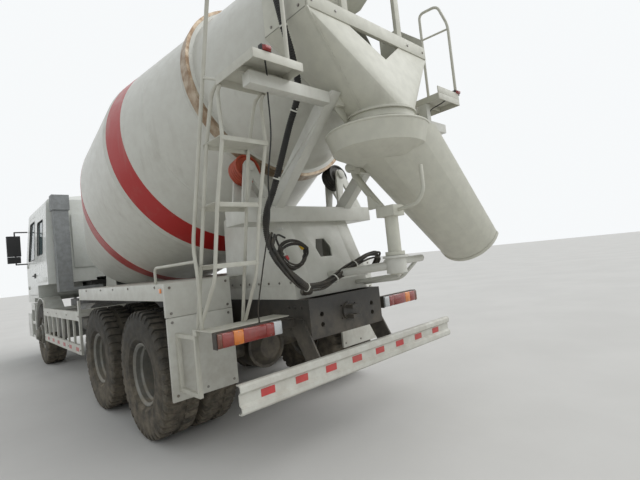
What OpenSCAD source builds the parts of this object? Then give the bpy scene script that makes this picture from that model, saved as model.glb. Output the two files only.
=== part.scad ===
// Concrete mixer truck: cab-over, three axles, drum turned by a gearbox at its front end
// and carried at the back by two rollers, chute swung to the right and parked.
// X points forward, Y to the left, Z up. The origin is on the ground, in the middle of the outline.

/* [Running gear] */
// Front axle to the first rear axle
wheelbase = 4025; // [3800:25:4400]
// First rear axle to the second one
bogie = 1350; // [1300:10:1450]
// Front axle to the face of the bumper
front_overhang = 1500; // [1450:10:1560]
// Tyre radius out to the lug tips
tyre_r = 555; // [540:5:565]
// Tyre width
tyre_w = 310; // [290:5:320]
// Seat radius of the rim
rim_r = 254; // [245:1:260]
// Rim width over the flanges
rim_w = 240; // [220:5:260]
// Number of hand holes in a wheel disc
hand_holes = 8; // [6:1:10]
// Spacing of the two tyres of a twin wheel
twin_gap = 350; // [340:5:360]
// Distance between the twin wheels of one axle
rear_track = 1830; // [1810:5:1850]
// Distance between the front wheels
front_track = 2022; // [2010:2:2050]
// Kingpin inboard of the middle of the front tyre
kingpin_in = 143; // [140:1:150]

/* [Chassis] */
// Outer width of the frame rails
frame_w = 850; // [830:10:870]
// Height of a frame rail
rail_h = 300; // [280:10:310]
// Flange width of a frame rail
rail_flange = 80; // [70:5:90]
// Plate thickness of a frame rail
rail_t = 10; // [8:1:12]
// Top of the frame rails above the ground
frame_top = 1100; // [1080:10:1120]
// Frame end behind the last axle
frame_tail = 1380; // [1360:10:1420]
// Height of the mixer's own frame on top of the rails
subframe_h = 110; // [100:5:120]
// Distance from the last axle to the back of the bumper
bumper_back = 1600; // [1580:10:1640]
// Height of the rear bumper
bumper_h = 180; // [160:5:200]
// Underside of the rear bumper above the ground
bumper_z = 520; // [500:10:540]
// Half of the width over the bumper
bumper_half = 1200; // [1150:10:1220]

/* [Cab] */
// Width of the cab
cab_w = 2300; // [2260:10:2320]
// Wall of the cab and thickness of its doors
cab_wall = 45; // [40:1:50]
// Cab rear wall behind the front axle
cab_back = 875; // [860:5:900]
// Cab front panel behind the bumper face
cab_nose = 60; // [50:5:80]
// Crown of the roof
roof_z = 3080; // [3040:10:3100]
// Gap round a door
door_gap = 6; // [5:1:10]
// Half of the width over the mirrors
mirror_half = 1480; // [1470:5:1500]

/* [Drum] */
// Tilt of the drum, low at the front
drum_tilt = 13.7; // [13.4:0.1:14]
// Radius of the middle of the drum
drum_r = 1200; // [1180:5:1205]
// Length of the cylinder in the middle
drum_mid = 1050; // [1000:10:1100]
// Length of the front cone
cone_front = 1943; // [1900:10:1960]
// Radius at the front end
drum_front_r = 759; // [740:5:780]
// Cylinder end to the middle of the running ring
ring_at = 1366; // [1350:2:1380]
// Radius of the cone under the running ring
ring_cone_r = 854; // [848:1:858]
// Running ring radius
ring_r = 904; // [900:1:908]
// Running ring width
ring_w = 110; // [100:5:120]
// Length of the mouth behind the ring
mouth_len = 850; // [820:10:880]
// Shell plate
drum_wall = 8; // [6:1:10]
// Last axle to the rear end of the drum's middle
drum_x = 662; // [650:2:680]
// Height of the drum axis there
drum_z = 2734; // [2730:2:2760]
// Roller radius
roller_r = 120; // [115:1:125]
// Roller width
roller_w = 130; // [125:5:140]
// Angle of a roller from the bottom of the ring
roller_angle = 32; // [30:1:34]

/* [Chute and funnel] */
// Last axle to the pivot of the chute
chute_back = 1935; // [1925:5:1950]
// Slope of the chute as parked
chute_slope = 40; // [38:1:42]
// Inside radius of the chute
chute_r = 350; // [340:5:360]
// Inside radius of the chute at its tip
chute_tip_r = 270; // [260:5:290]
// Length of the chute from the pivot to its tip
chute_len = 1500; // [1450:10:1520]
// Height of the chute's round rim
chute_rim_z = 2280; // [2270:5:2290]
// Plate of chute and funnel
plate_t = 6; // [5:1:8]
// Inside radius of the funnel's outlet
outlet_r = 250; // [240:5:255]
// Height of the funnel's outlet
outlet_z = 2400; // [2390:5:2420]

/* [Hidden] */
$fn = 48;

// Stations along the truck
bowl_r = chute_r - 20;
rim_tube = 8;
fork_y = bowl_r + 30;
pin_out = 25;
chute_reach = chute_back + fork_y + pin_out;
overall = chute_reach + bogie + wheelbase + front_overhang;
x_rear = chute_reach - overall / 2;
x_mid = x_rear + bogie;
x_front = x_mid + wheelbase;
x_nose = x_front + front_overhang;
cab_x0 = x_front - cab_back;
cab_x1 = x_nose - cab_nose;
rail_y = frame_w / 2;
rail_bottom = frame_top - rail_h;
sub_top = frame_top + subframe_h;
frame_x0 = x_rear - frame_tail;
frame_x1 = x_nose - 260;
twin_y = rear_track / 2;
front_y = front_track / 2;
kingpin_y = front_y - kingpin_in;
seat_gap = 0.3;
run_gap = 0.05;

// Helpers
module block(x, y, z) {
    translate([x[0], y[0], z[0]]) cube([x[1] - x[0], y[1] - y[0], z[1] - z[0]]);
}
module both_sides() {
    children();
    mirror([0, 1, 0]) children();
}
module rod(a, b, r) {
    d = b - a;
    l = norm(d);
    translate(a) rotate([0, acos(d[2] / l), atan2(d[1], d[0])]) cylinder(h = l, r = r);
}
// Bent tube through a row of points, with a ball at each bend
module bent_tube(points, r) {
    for (i = [0 : len(points) - 2]) rod(points[i], points[i + 1], r);
    for (i = [1 : len(points) - 2]) translate(points[i]) sphere(r = r + 0.4);
}
// Outline in the XZ plane, pulled out along Y from y0 to y1
module side_plate(points, y0, y1) {
    translate([0, y1, 0]) rotate([90, 0, 0]) linear_extrude(y1 - y0) polygon(points);
}
// Outline in the YZ plane, pulled out along X from x0 to x1
module cross_plate(points, x0, x1) {
    translate([x0, 0, 0]) rotate([90, 0, 90]) linear_extrude(x1 - x0) polygon(points);
}
function arc(cx, cy, r, a0, a1, n) =
    [for (i = [0 : n]) [cx + r * cos(a0 + (a1 - a0) * i / n), cy + r * sin(a0 + (a1 - a0) * i / n)]];

// Wheels: local Z points outward from the truck
module at_wheel(x, y, side) {
    translate([x, side * y, tyre_r]) rotate([-90 * side, 0, 0]) children();
}
module tyre(shift = 0) {
    half = tyre_w / 2;
    // columns: radius, half width
    flank = [[rim_r + seat_gap, rim_w / 2 - 19], [rim_r + rim_flange + 1, rim_w / 2 - 11], [rim_r + 48, 0.92 * half],
        [rim_r + 95, 0.98 * half], [rim_r + 150, half], [tyre_r - 80, 0.98 * half], [tyre_r - 36, 0.95 * half],
        [tyre_r - 10, 0.87 * half], [tyre_r, 0.76 * half]];
    translate([0, 0, shift]) rotate_extrude($fn = 96) polygon(concat(
        [for (p = flank) [p[0], -p[1]]],
        [for (i = [len(flank) - 1 : -1 : 0]) flank[i]]));
}
// Rim with its disc; dish is 1 for a disc outboard and -1 for a disc inboard
disc_at = twin_gap / 2;
disc_t = 12;
hub_r = 110;
rim_flange = 19;
module rim(shift, dish) {
    half = rim_w / 2;
    translate([0, 0, shift]) difference() {
        union() {
            rotate_extrude($fn = 96) polygon([
                [rim_r + rim_flange, -half], [rim_r + rim_flange, -half + 10], [rim_r, -half + 18],
                [rim_r, -half + 60], [rim_r - 18, -half + 75], [rim_r - 18, half - 75], [rim_r, half - 60],
                [rim_r, half - 18], [rim_r + rim_flange, half - 10], [rim_r + rim_flange, half],
                [rim_r + 9, half], [rim_r - 10, half - 16], [rim_r - 10, half - 56], [rim_r - 28, half - 72],
                [rim_r - 28, -half + 72], [rim_r - 10, -half + 56], [rim_r - 10, -half + 16],
                [rim_r + 9, -half]]);
            rotate_extrude($fn = 96) polygon([
                [hub_r - 10, dish * disc_at], [150, dish * disc_at], [rim_r - 23, dish * 58],
                [rim_r - 23, dish * 42], [146, dish * (disc_at - disc_t)], [hub_r - 10, dish * (disc_at - disc_t)]]);
        }
        for (i = [0 : hand_holes - 1]) rotate(360 / hand_holes * i)
            translate([192, 0, dish > 0 ? 60 : -160]) cylinder(h = 100, r = 26);
    }
}
spindle_r = 45;
drum_brake_r = 212;
// Hub and brake drum of a twin wheel; local zero is the face where the discs meet
module twin_hub() {
    difference() {
        union() {
            translate([0, 0, -60]) cylinder(h = 190, r = hub_r);
            translate([0, 0, 130]) cylinder(h = 40, r1 = hub_r - 8, r2 = hub_r - 30);
            translate([0, 0, -36]) cylinder(h = 24, r = drum_brake_r);
            difference() {
                translate([0, 0, -230]) cylinder(h = 200, r = drum_brake_r);
                translate([0, 0, -231]) cylinder(h = 202, r = drum_brake_r - 22);
            }
        }
        translate([0, 0, -240]) cylinder(h = 330, r = spindle_r + run_gap);
    }
}
module twin_rims() {
    rim(twin_gap / 2, -1);
    rim(-twin_gap / 2, 1);
    twin_hub();
}
module front_rim() {
    rim(0, 1);
    difference() {
        union() {
            translate([0, 0, -30]) cylinder(h = 245, r = hub_r);
            translate([0, 0, 215]) cylinder(h = 30, r1 = hub_r - 12, r2 = hub_r - 30);
            translate([0, 0, 130]) cylinder(h = disc_at - disc_t - 130, r = drum_brake_r - 40);
            difference() {
                translate([0, 0, -40]) cylinder(h = 175, r = drum_brake_r - 5);
                translate([0, 0, -41]) cylinder(h = 164, r = drum_brake_r - 25);
            }
        }
        translate([0, 0, -50]) cylinder(h = 230, r = spindle_r + run_gap);
    }
}
module tyre_front_left() { color([0.09, 0.09, 0.09]) at_wheel(x_front, front_y, 1) tyre(); }
module tyre_front_right() { color([0.09, 0.09, 0.09]) at_wheel(x_front, front_y, -1) tyre(); }
module twin_tyres(x, side) {
    color([0.09, 0.09, 0.09]) at_wheel(x, twin_y, side) for (s = [-1, 1]) tyre(s * twin_gap / 2);
}
module tyres_mid_left() { twin_tyres(x_mid, 1); }
module tyres_mid_right() { twin_tyres(x_mid, -1); }
module tyres_rear_left() { twin_tyres(x_rear, 1); }
module tyres_rear_right() { twin_tyres(x_rear, -1); }
module rim_front_left() { color([0.62, 0.63, 0.62]) at_wheel(x_front, front_y, 1) front_rim(); }
module rim_front_right() { color([0.62, 0.63, 0.62]) at_wheel(x_front, front_y, -1) front_rim(); }
module rims_mid_left() { color([0.62, 0.63, 0.62]) at_wheel(x_mid, twin_y, 1) twin_rims(); }
module rims_mid_right() { color([0.62, 0.63, 0.62]) at_wheel(x_mid, twin_y, -1) twin_rims(); }
module rims_rear_left() { color([0.62, 0.63, 0.62]) at_wheel(x_rear, twin_y, 1) twin_rims(); }
module rims_rear_right() { color([0.62, 0.63, 0.62]) at_wheel(x_rear, twin_y, -1) twin_rims(); }

// Front axle: dropped beam between the kingpins, and a leaf spring on each side
beam_h = 110;
beam_z = tyre_r - 150;
fist_h = 150;
fork_h = 60;
kingpin_r = 25;
spring_y = rail_y;
spring_w = 80;
leaf_t = 14;
module front_axle() {
    color([0.13, 0.13, 0.14]) {
        difference() {
            union() {
                block([x_front - 45, x_front + 45], [-kingpin_y + 130, kingpin_y - 130], [beam_z, beam_z + beam_h]);
                both_sides() {
                    cross_plate([[kingpin_y - 240, beam_z], [kingpin_y - 150, beam_z],
                        [kingpin_y - 62, tyre_r - fist_h / 2], [kingpin_y - 20, tyre_r - fist_h / 2], [kingpin_y - 20, tyre_r + fist_h / 2],
                        [kingpin_y - 90, tyre_r + fist_h / 2], [kingpin_y - 240, beam_z + beam_h]],
                        x_front - 45, x_front + 45);
                    translate([x_front, kingpin_y, tyre_r - fist_h / 2]) cylinder(h = fist_h, r = 48);
                }
            }
            both_sides() translate([x_front, kingpin_y, tyre_r - fist_h]) cylinder(h = 2 * fist_h, r = kingpin_r + run_gap);
        }
        both_sides() difference() {
            front_spring();
            for (s = [-1, 1]) spring_eye(s, 2 * spring_w) cylinder(h = 2 * spring_w, r = eye_pin_r + run_gap);
        }
    }
}
spring_seat_z = beam_z + beam_h + seat_gap;
spring_leaves = 7;
spring_half = 800;
module front_spring() {
    for (i = [0 : spring_leaves - 1]) {
        half = spring_half - 95 * i;
        z = spring_seat_z + leaf_t * (spring_leaves - 1 - i);
        block([x_front - half, x_front + half], [spring_y - spring_w / 2, spring_y + spring_w / 2], [z, z + leaf_t]);
    }
    for (s = [-1, 1]) spring_eye(s, spring_w) cylinder(h = spring_w, r = eye_r);
}
spring_top = spring_seat_z + leaf_t * spring_leaves;
eye_r = 32;
eye_pin_r = 14;
module spring_eye(s, w) {
    translate([x_front + s * spring_half, spring_y + w / 2, spring_top - eye_r]) rotate([90, 0, 0]) children();
}
// Bracket below a rail that holds a spring eye between two cheeks
module spring_hanger(s) {
    cheek = 14;
    outer = spring_w / 2 + seat_gap + cheek;
    x = x_front + s * spring_half;
    difference() {
        side_plate([[x - 75, rail_bottom + 2], [x + 75, rail_bottom + 2], [x + 40, spring_top - eye_r - 40],
            [x - 40, spring_top - eye_r - 40]], spring_y - outer, spring_y + outer);
        block([x - 100, x + 100], [spring_y - outer + cheek, spring_y + outer - cheek], [spring_top - 200, spring_top + 60]);
    }
    spring_eye(s, 2 * outer - 2) cylinder(h = 2 * outer - 2, r = eye_pin_r);
}

// Knuckle on its kingpin, with spindle, brake plate and steering arm
module knuckle(side) {
    color([0.16, 0.16, 0.17]) at_wheel(x_front, kingpin_y, side) {
        fork_gap = 3;
        for (s = [-1, 1]) rotate([90, 0, 0]) translate([0, 0, s > 0 ? fist_h / 2 + fork_gap : -fist_h / 2 - fork_gap - fork_h])
            cylinder(h = fork_h, r = 46);
        rotate([90, 0, 0]) translate([0, 0, -fist_h / 2 - fork_h]) cylinder(h = fist_h + 2 * fork_h, r = kingpin_r);
        difference() {
            translate([-46, -fist_h / 2 - fork_gap - fork_h, 0]) cube([92, fist_h + 2 * fork_gap + 2 * fork_h, 85]);
            translate([-60, -fist_h / 2 - fork_gap, -1]) cube([120, fist_h + 2 * fork_gap, 58]);
        }
        translate([0, 0, 80]) cylinder(h = 16, r = drum_brake_r - 15);
        translate([0, 0, 90]) cylinder(h = kingpin_in + 160 - 90, r = spindle_r);
        translate([-200, side > 0 ? fist_h / 2 + 20 : -fist_h / 2 - 46, 20]) cube([200, 26, 46]);
    }
}
module knuckle_left() { knuckle(1); }
module knuckle_right() { knuckle(-1); }

// Rear axles: tube, bowl of the final drive, spindles and spring pads
axle_tube_r = 78;
final_drive_r = 225;
module rear_axles() {
    color([0.13, 0.13, 0.14]) for (x = [x_mid, x_rear]) translate([x, 0, tyre_r]) {
        rotate([90, 0, 0]) translate([0, 0, -twin_y + 250]) cylinder(h = 2 * twin_y - 500, r = axle_tube_r);
        both_sides() {
            rotate([-90, 0, 0]) translate([0, 0, twin_y - 260]) cylinder(h = 16, r = drum_brake_r - 15);
            rotate([-90, 0, 0]) translate([0, 0, twin_y - 250]) cylinder(h = 330, r = spindle_r);
        }
        translate([-150, 0, 0]) rotate([0, 90, 0]) cylinder(h = 220, r = final_drive_r);
        translate([60, 0, 0]) rotate([0, 90, 0]) cylinder(h = 200, r1 = 200, r2 = 90);
        translate([-215, 0, 0]) rotate([0, 90, 0]) cylinder(h = 70, r1 = 120, r2 = 200);
    }
}
// Bogie: leaf packs over the axles, seats in the middle, and brackets up to the rails
bogie_x = (x_mid + x_rear) / 2;
pack_leaves = 9;
pack_t = 18;
pack_w = 90;
pack_y = 505;
pack_z = tyre_r + axle_tube_r + seat_gap;
tie_tube_z = tyre_r - 120;
module bogie_springs() {
    color([0.12, 0.12, 0.13]) both_sides() {
        for (i = [0 : pack_leaves - 1]) {
            half = bogie / 2 + 60 - 62 * i;
            block([bogie_x - half, bogie_x + half], [pack_y - pack_w / 2, pack_y + pack_w / 2],
                [pack_z + pack_t * i, pack_z + pack_t * (i + 1)]);
        }
        block([bogie_x - 110, bogie_x + 110], [pack_y - pack_w / 2 - 10, pack_y + pack_w / 2 + 10],
            [pack_z - 130, pack_z + 60]);
        translate([bogie_x, rail_y - 60, pack_z - 70]) rotate([-90, 0, 0]) cylinder(h = pack_y - rail_y + 120, r = 60);
        translate([bogie_x, 0, tie_tube_z]) rotate([-90, 0, 0]) cylinder(h = rail_y + 10, r = 35);
        side_plate([[bogie_x - 220, frame_top - 60], [bogie_x + 220, frame_top - 60], [bogie_x + 150, rail_bottom - 40],
            [bogie_x + 80, tie_tube_z - 60], [bogie_x - 80, tie_tube_z - 60], [bogie_x - 150, rail_bottom - 40]],
            rail_y + seat_gap, rail_y + 20);
    }
}

// Frame: two channel rails, cross members, closing member with a towing jaw
module rail() {
    difference() {
        block([frame_x0, frame_x1], [rail_y - rail_flange, rail_y], [rail_bottom, frame_top]);
        block([frame_x0 - 1, frame_x1 + 1], [rail_y - rail_flange - 1, rail_y - rail_t],
            [rail_bottom + rail_t, frame_top - rail_t]);
    }
}
tow_z = rail_bottom + rail_h / 2;
tow_hole_r = 9;
// columns: distance ahead of the last axle, width along X
cross_members = [[-700, 120], [575, 200], [2300, 110], [3300, 110], [4120, 110]];
module chassis_frame() {
    color([0.1, 0.1, 0.11]) {
        both_sides() rail();
        for (c = cross_members) block([x_rear + c[0], x_rear + c[0] + c[1]], [-rail_y + rail_t - 1, rail_y - rail_t + 1],
            [frame_top - 170, frame_top - 30]);
        difference() {
            union() {
                block([frame_x0 - 14, frame_x0 + 1], [-rail_y, rail_y], [rail_bottom - 10, frame_top]);
                translate([frame_x0 - 34, 0, tow_z]) rotate([0, 90, 0]) cylinder(h = 21, r = 75);
                block([frame_x0 - 110, frame_x0 - 30], [-45, 45], [tow_z - 55, tow_z - 25]);
                block([frame_x0 - 110, frame_x0 - 30], [-45, 45], [tow_z + 25, tow_z + 55]);
            }
            translate([frame_x0 - 78, 0, tow_z - 60]) cylinder(h = 120, r = 20);
            for (y = [-80, 80], z = [-50, 50]) translate([frame_x0 - 40, y, tow_z + z]) rotate([0, 90, 0]) cylinder(h = 60, r = tow_hole_r);
            for (y = [-300, 300], z = [-60, 20]) translate([frame_x0 - 40, y, tow_z + z]) rotate([0, 90, 0]) cylinder(h = 60, r = 20);
        }
        both_sides() side_plate([[frame_x0 + 60, rail_bottom + 150], [frame_x0 + 260, rail_bottom + 150],
            [x_rear - bumper_back + 240, bumper_z + 20], [x_rear - bumper_back + 60, bumper_z + 20]],
            rail_y - 1, rail_y + 14);
        block([frame_x1 - 200, frame_x1], [-rail_y + 1, rail_y - 1], [rail_bottom, rail_bottom + 140]);
        both_sides() {
            for (s = [-1, 1]) spring_hanger(s);
            tilt_bracket();
            // arm of a rear lamp
            block([lamp_x1 + seat_gap, lamp_x1 + 30], [rail_y - 1, 1120], [lamp_z + 25, lamp_z + 85]);
            // column of the cab's rear rest
            block([rest_x, rest_x + 60], [rail_y - 60, rail_y], [frame_top - 1, rest_top]);
        }
        block([rest_x, rest_x + 60], [-tunnel_half - 80, tunnel_half + 80], [rest_top - 70, rest_top]);
    }
}
rest_x = cab_x0 + 60;
cab_floor_z = 1450;
rest_top = cab_floor_z - seat_gap;
// Tilting hinge of the cab, ahead of the rails
tilt_hinge_x = x_nose - 162;
tilt_hinge_z = 1020;
hinge_pin_r = 20;
hinge_y = 345;
module tilt_bracket() {
    side_plate(concat([[frame_x1 - 150, frame_top - 4], [frame_x1 - 150, frame_top - 150]],
        arc(tilt_hinge_x, tilt_hinge_z, 45, -75, 75, 6)), hinge_y, hinge_y + 25);
    translate([tilt_hinge_x, hinge_y + 20, tilt_hinge_z]) rotate([90, 0, 0]) cylinder(h = 70, r = hinge_pin_r);
}
module tilt_lug() {
    difference() {
        union() {
            block([tilt_hinge_x - 45, tilt_hinge_x + 45], [hinge_y - 45, hinge_y - 5], [tilt_hinge_z, 1132]);
            translate([tilt_hinge_x, hinge_y - 5, tilt_hinge_z]) rotate([90, 0, 0]) cylinder(h = 40, r = 45);
        }
        translate([tilt_hinge_x, hinge_y, tilt_hinge_z]) rotate([90, 0, 0]) cylinder(h = 80, r = hinge_pin_r + run_gap);
    }
}
// Rear bumper: folded plate with a recess along its back
module rear_bumper() {
    d = 46;
    x = x_rear - bumper_back;
    color([0.93, 0.93, 0.91]) {
        side_plate([[x + d, bumper_z], [x + 14, bumper_z], [x, bumper_z + 14], [x, bumper_z + 45],
            [x + 22, bumper_z + 62], [x + 22, bumper_z + bumper_h - 62], [x, bumper_z + bumper_h - 45],
            [x, bumper_z + bumper_h - 14], [x + 14, bumper_z + bumper_h], [x + d, bumper_z + bumper_h],
            [x + d, bumper_z + bumper_h - 6], [x + 20, bumper_z + bumper_h - 6], [x + 8, bumper_z + bumper_h - 18],
            [x + 8, bumper_z + bumper_h - 42], [x + 30, bumper_z + bumper_h - 58], [x + 30, bumper_z + 58],
            [x + 8, bumper_z + 42], [x + 8, bumper_z + 18], [x + 20, bumper_z + 6], [x + d, bumper_z + 6]],
            -bumper_half, bumper_half);
        both_sides() block([x + 29, x + 62], [rail_y - 40, rail_y - 1.3], [bumper_z + 22, bumper_z + bumper_h - 10]);
    }
}
// Mixer frame: two box beams on the rails, closed at the back
sub_w = 80;
sub_x0 = x_rear - 1250;
sub_x1 = x_rear + 4150;
module subframe() {
    color([0.93, 0.93, 0.91]) {
        both_sides() block([sub_x0, sub_x1], [rail_y - sub_w, rail_y], [frame_top + seat_gap, sub_top]);
        for (x = [sub_x0, sub_x0 + 900, sub_x1 - 520, sub_x1 - 100])
            block([x, x + 100], [-rail_y + sub_w - 1, rail_y - sub_w + 1], [frame_top + seat_gap, sub_top]);
    }
}

// Cab body as a solid, drawn in by an inset
module cab_solid(i) {
    r = 110;
    side = [[cab_x0 + i, 1450 + i], [x_front + 180 + i, 1450 + i], [x_front + 200 + i, 1215 + i],
        [x_front + 670 + i, 1215 + i], [x_front + 690 + i, 1130 + i], [cab_x1 - i, 1130 + i],
        [cab_x1 - 40 - i, 1990], [cab_x1 - 330 - i, 2850 - 0.6 * i], [cab_x1 - 480 - i, 3000 - i],
        [cab_x1 - 900, roof_z - i], [cab_x0 + 700, roof_z - i], [cab_x0 + 150 + i, roof_z - 50 - i],
        [cab_x0 + 40 + i, roof_z - 150 - i]];
    half = cab_w / 2 - i;
    front = concat([[-half, 1100], [half, 1100]], [[half, 1980], [half - 50, 2820 - i]],
        arc(half - 50 - r, 2850 - i, r, 0, 60, 3), [[0, roof_z + 20 - i]],
        arc(-half + 50 + r, 2850 - i, r, 120, 180, 3), [[-half + 50, 2820 - i], [-half, 1980]]);
    intersection() {
        side_plate(side, -cab_w, cab_w);
        cross_plate(front, cab_x0 - 100, cab_x1 + 100);
    }
}
tunnel_half = 400;
tunnel_top = 1500;
module tunnel(i) {
    block([cab_x0 - 60, x_front + 900 + i], [-tunnel_half - i, tunnel_half + i], [1000, tunnel_top + i]);
}
door_x0 = x_front + 270;
door_x1 = x_front + 1220;
door_z0 = 1270;
door_z1 = 2790;
function door_outline(g) = [[door_x0 + g, door_z0 + g], [door_x1 - g, door_z0 + g], [door_x1 - g, 1960],
    [door_x1 - 270 - g, door_z1 - g], [door_x0 + g, door_z1 - g]];
function window_outline(g) = [[door_x0 + 95 + g, 1960 + g], [door_x1 - 105 - 0.9 * g, 1960 + g],
    [door_x1 - 330 - 0.9 * g, door_z1 - 85 - g], [door_x0 + 95 + g, door_z1 - 85 - g]];
function shield_outline(g) = [[-cab_w / 2 + 120 + g, 2040 + g], [cab_w / 2 - 120 - g, 2040 + g],
    [cab_w / 2 - 170 - g, 2790 - g], [-cab_w / 2 + 170 + g, 2790 - g]];
module cab_shell() {
    color([0.93, 0.93, 0.92]) both_sides() {
        tilt_lug();
        for (z = door_hinge_z) {
            translate([door_hinge_x, door_hinge_y, z - 30 - seat_gap]) cylinder(h = 30, r = door_barrel_r);
            translate([door_hinge_x, door_hinge_y, z - 30 - seat_gap]) cylinder(h = 70, r = door_pin_r);
            block([door_hinge_x, door_hinge_x + 55], [cab_w / 2 - 1, door_hinge_y + 1], [z - 30 - seat_gap, z - seat_gap]);
        }
    }
    color([0.93, 0.93, 0.92]) difference() {
        cab_solid(0);
        difference() {
            cab_solid(cab_wall);
            tunnel(cab_wall);
        }
        tunnel(0);
        for (s = [-1, 1]) side_plate(door_outline(0), s > 0 ? cab_w / 2 - cab_wall - 60 : -cab_w / 2 - 10,
            s > 0 ? cab_w / 2 + 10 : -cab_w / 2 + cab_wall + 60);
        for (s = [-1, 1]) side_plate([[door_x0 - 800, 2000], [door_x0 - 230, 2000], [door_x0 - 230, 2620],
            [door_x0 - 800, 2620]], s > 0 ? cab_w / 2 - cab_wall - 60 : -cab_w / 2 - 10,
            s > 0 ? cab_w / 2 + 10 : -cab_w / 2 + cab_wall + 60);
        cross_plate(shield_outline(0), cab_x1 - 520, cab_x1 + 60);
        block([cab_x1 - cab_wall - 90, cab_x1 + 10], [-720, 720], [1290, 1830]);
    }
}
glass_t = 6;
glass_in = 18;
module cab_glass() {
    color([0.55, 0.65, 0.68, 0.5]) {
        intersection() {
            difference() {
                cab_solid(glass_in);
                cab_solid(glass_in + glass_t);
            }
            cross_plate(shield_outline(seat_gap), cab_x1 - 420, cab_x1 + 60);
        }
        intersection() {
            difference() {
                cab_solid(glass_in);
                cab_solid(glass_in + glass_t);
            }
            for (s = [-1, 1]) side_plate([[door_x0 - 800 + seat_gap, 2000 + seat_gap], [door_x0 - 230 - seat_gap, 2000 + seat_gap],
                [door_x0 - 230 - seat_gap, 2620 - seat_gap], [door_x0 - 800 + seat_gap, 2620 - seat_gap]],
                s > 0 ? cab_w / 2 - 200 : -cab_w / 2 - 10, s > 0 ? cab_w / 2 + 10 : -cab_w / 2 + 200);
        }
    }
}
// Grille panel in the nose of the cab: frame with louvres
louvres = 6;
module front_panel() {
    color([0.2, 0.2, 0.21]) intersection() {
        difference() {
            cab_solid(4);
            cab_solid(cab_wall - 4);
        }
        union() {
            difference() {
                block([cab_x1 - 140, cab_x1 + 10], [-720 + seat_gap, 720 - seat_gap], [1290 + seat_gap, 1830 - seat_gap]);
                block([cab_x1 - 160, cab_x1 + 20], [-680, 680], [1325, 1795]);
            }
            for (i = [0 : louvres - 1]) block([cab_x1 - 140, cab_x1 + 10], [-681, 681], [1345 + 78 * i, 1385 + 78 * i]);
            block([cab_x1 - 140, cab_x1 + 10], [-20, 20], [1320, 1800]);
        }
    }
}
door_hinge_x = door_x1 - door_gap / 2;
door_hinge_y = cab_w / 2 + 12;
door_hinge_z = [1420, 1860];
door_barrel_r = 11;
door_pin_r = 6;
module door_knuckles() {
    for (z = door_hinge_z) difference() {
        union() {
            translate([door_hinge_x, door_hinge_y, z]) cylinder(h = 40, r = door_barrel_r);
            block([door_hinge_x - 55, door_hinge_x], [cab_w / 2 - 1, door_hinge_y + 1], [z, z + 40]);
        }
        translate([door_hinge_x, door_hinge_y, z - 1]) cylinder(h = 42, r = door_pin_r + run_gap);
    }
}
module door(side) {
    color([0.93, 0.93, 0.92]) mirror([0, side > 0 ? 0 : 1, 0]) door_knuckles();
    color([0.93, 0.93, 0.92]) difference() {
        intersection() {
            difference() {
                cab_solid(0);
                cab_solid(cab_wall);
            }
            side_plate(door_outline(door_gap), side > 0 ? cab_w / 2 - 200 : -cab_w / 2 - 10,
                side > 0 ? cab_w / 2 + 10 : -cab_w / 2 + 200);
        }
        side_plate(window_outline(0), side > 0 ? cab_w / 2 - 210 : -cab_w / 2 - 20,
            side > 0 ? cab_w / 2 + 20 : -cab_w / 2 + 210);
    }
}
module door_glass(side) {
    color([0.55, 0.65, 0.68, 0.5]) intersection() {
        difference() {
            cab_solid(glass_in);
            cab_solid(glass_in + glass_t);
        }
        side_plate(window_outline(seat_gap), side > 0 ? cab_w / 2 - 200 : -cab_w / 2 - 10,
            side > 0 ? cab_w / 2 + 10 : -cab_w / 2 + 200);
    }
}
module door_left() { door(1); }
module door_right() { door(-1); }
module door_glass_left() { door_glass(1); }
module door_glass_right() { door_glass(-1); }

// Seats, dashboard with steering wheel, and the bunk at the back
floor_z = 1215 + cab_wall + seat_gap;
// Inner face of the cab's front wall at a height
function front_x(z, i) = cab_x1 - i - 40 * (z - 1130 - i) / (860 - i);
module cab_interior() {
    color([0.25, 0.25, 0.27]) {
        for (s = [-1, 1]) translate([x_front + 430, s * 620, 0]) {
            block([-60, 330], [-150, 150], [floor_z, 1560]);
            block([-120, 400], [-240, 240], [1559, 1700]);
            rotate([0, -8, 0]) translate([100, 0, 60]) block([0, 110], [-230, 230], [1600, 2290]);
        }
        translate([cab_x1 - 480, 0, 0]) {
            side_plate([[80, 1560], [front_x(1560, cab_wall) - cab_x1 + 480 - seat_gap, 1560],
                [front_x(1900, cab_wall) - cab_x1 + 480 - seat_gap, 1900], [80, 1900]], -1000, 1000);
            rod([110, 620, 1700], [-70, 620, 1900], 26);
            translate([-70, 620, 1900]) rotate([0, -42, 0]) rotate_extrude() translate([210, 0]) circle(r = 15);
            translate([-70, 620, 1900]) rotate([0, -42, 0]) translate([-14, -210, -8]) cube([28, 420, 16]);
        }
        block([cab_x0 + 60, cab_x0 + 640], [-1000, 1000], [1560, 1720]);
        both_sides() block([cab_x0 + 60, cab_x0 + 100], [tunnel_half + cab_wall + seat_gap, 1000],
            [cab_floor_z + cab_wall + seat_gap, 1561]);
    }
}
// Half width of the cab at a height above its waist
function side_y(z) = cab_w / 2 - 50 * (z - 1980) / 840;
// Mirrors on arms ahead of the doors
module mirrors() {
    color([0.12, 0.12, 0.12]) both_sides() {
        y0 = cab_w / 2 + seat_gap;
        x = cab_x1 - 150;
        bent_tube([[x, y0, 1930], [x, y0 + 190, 1930], [x, y0 + 190, 2600], [x, side_y(2587) + seat_gap, 2600]], 13);
        block([x - 45, x + 45], [y0 + 100, mirror_half], [2100, 2520]);
        block([x - 45, x + 45], [y0 + 110, mirror_half], [1960, 2090]);
    }
}

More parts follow.
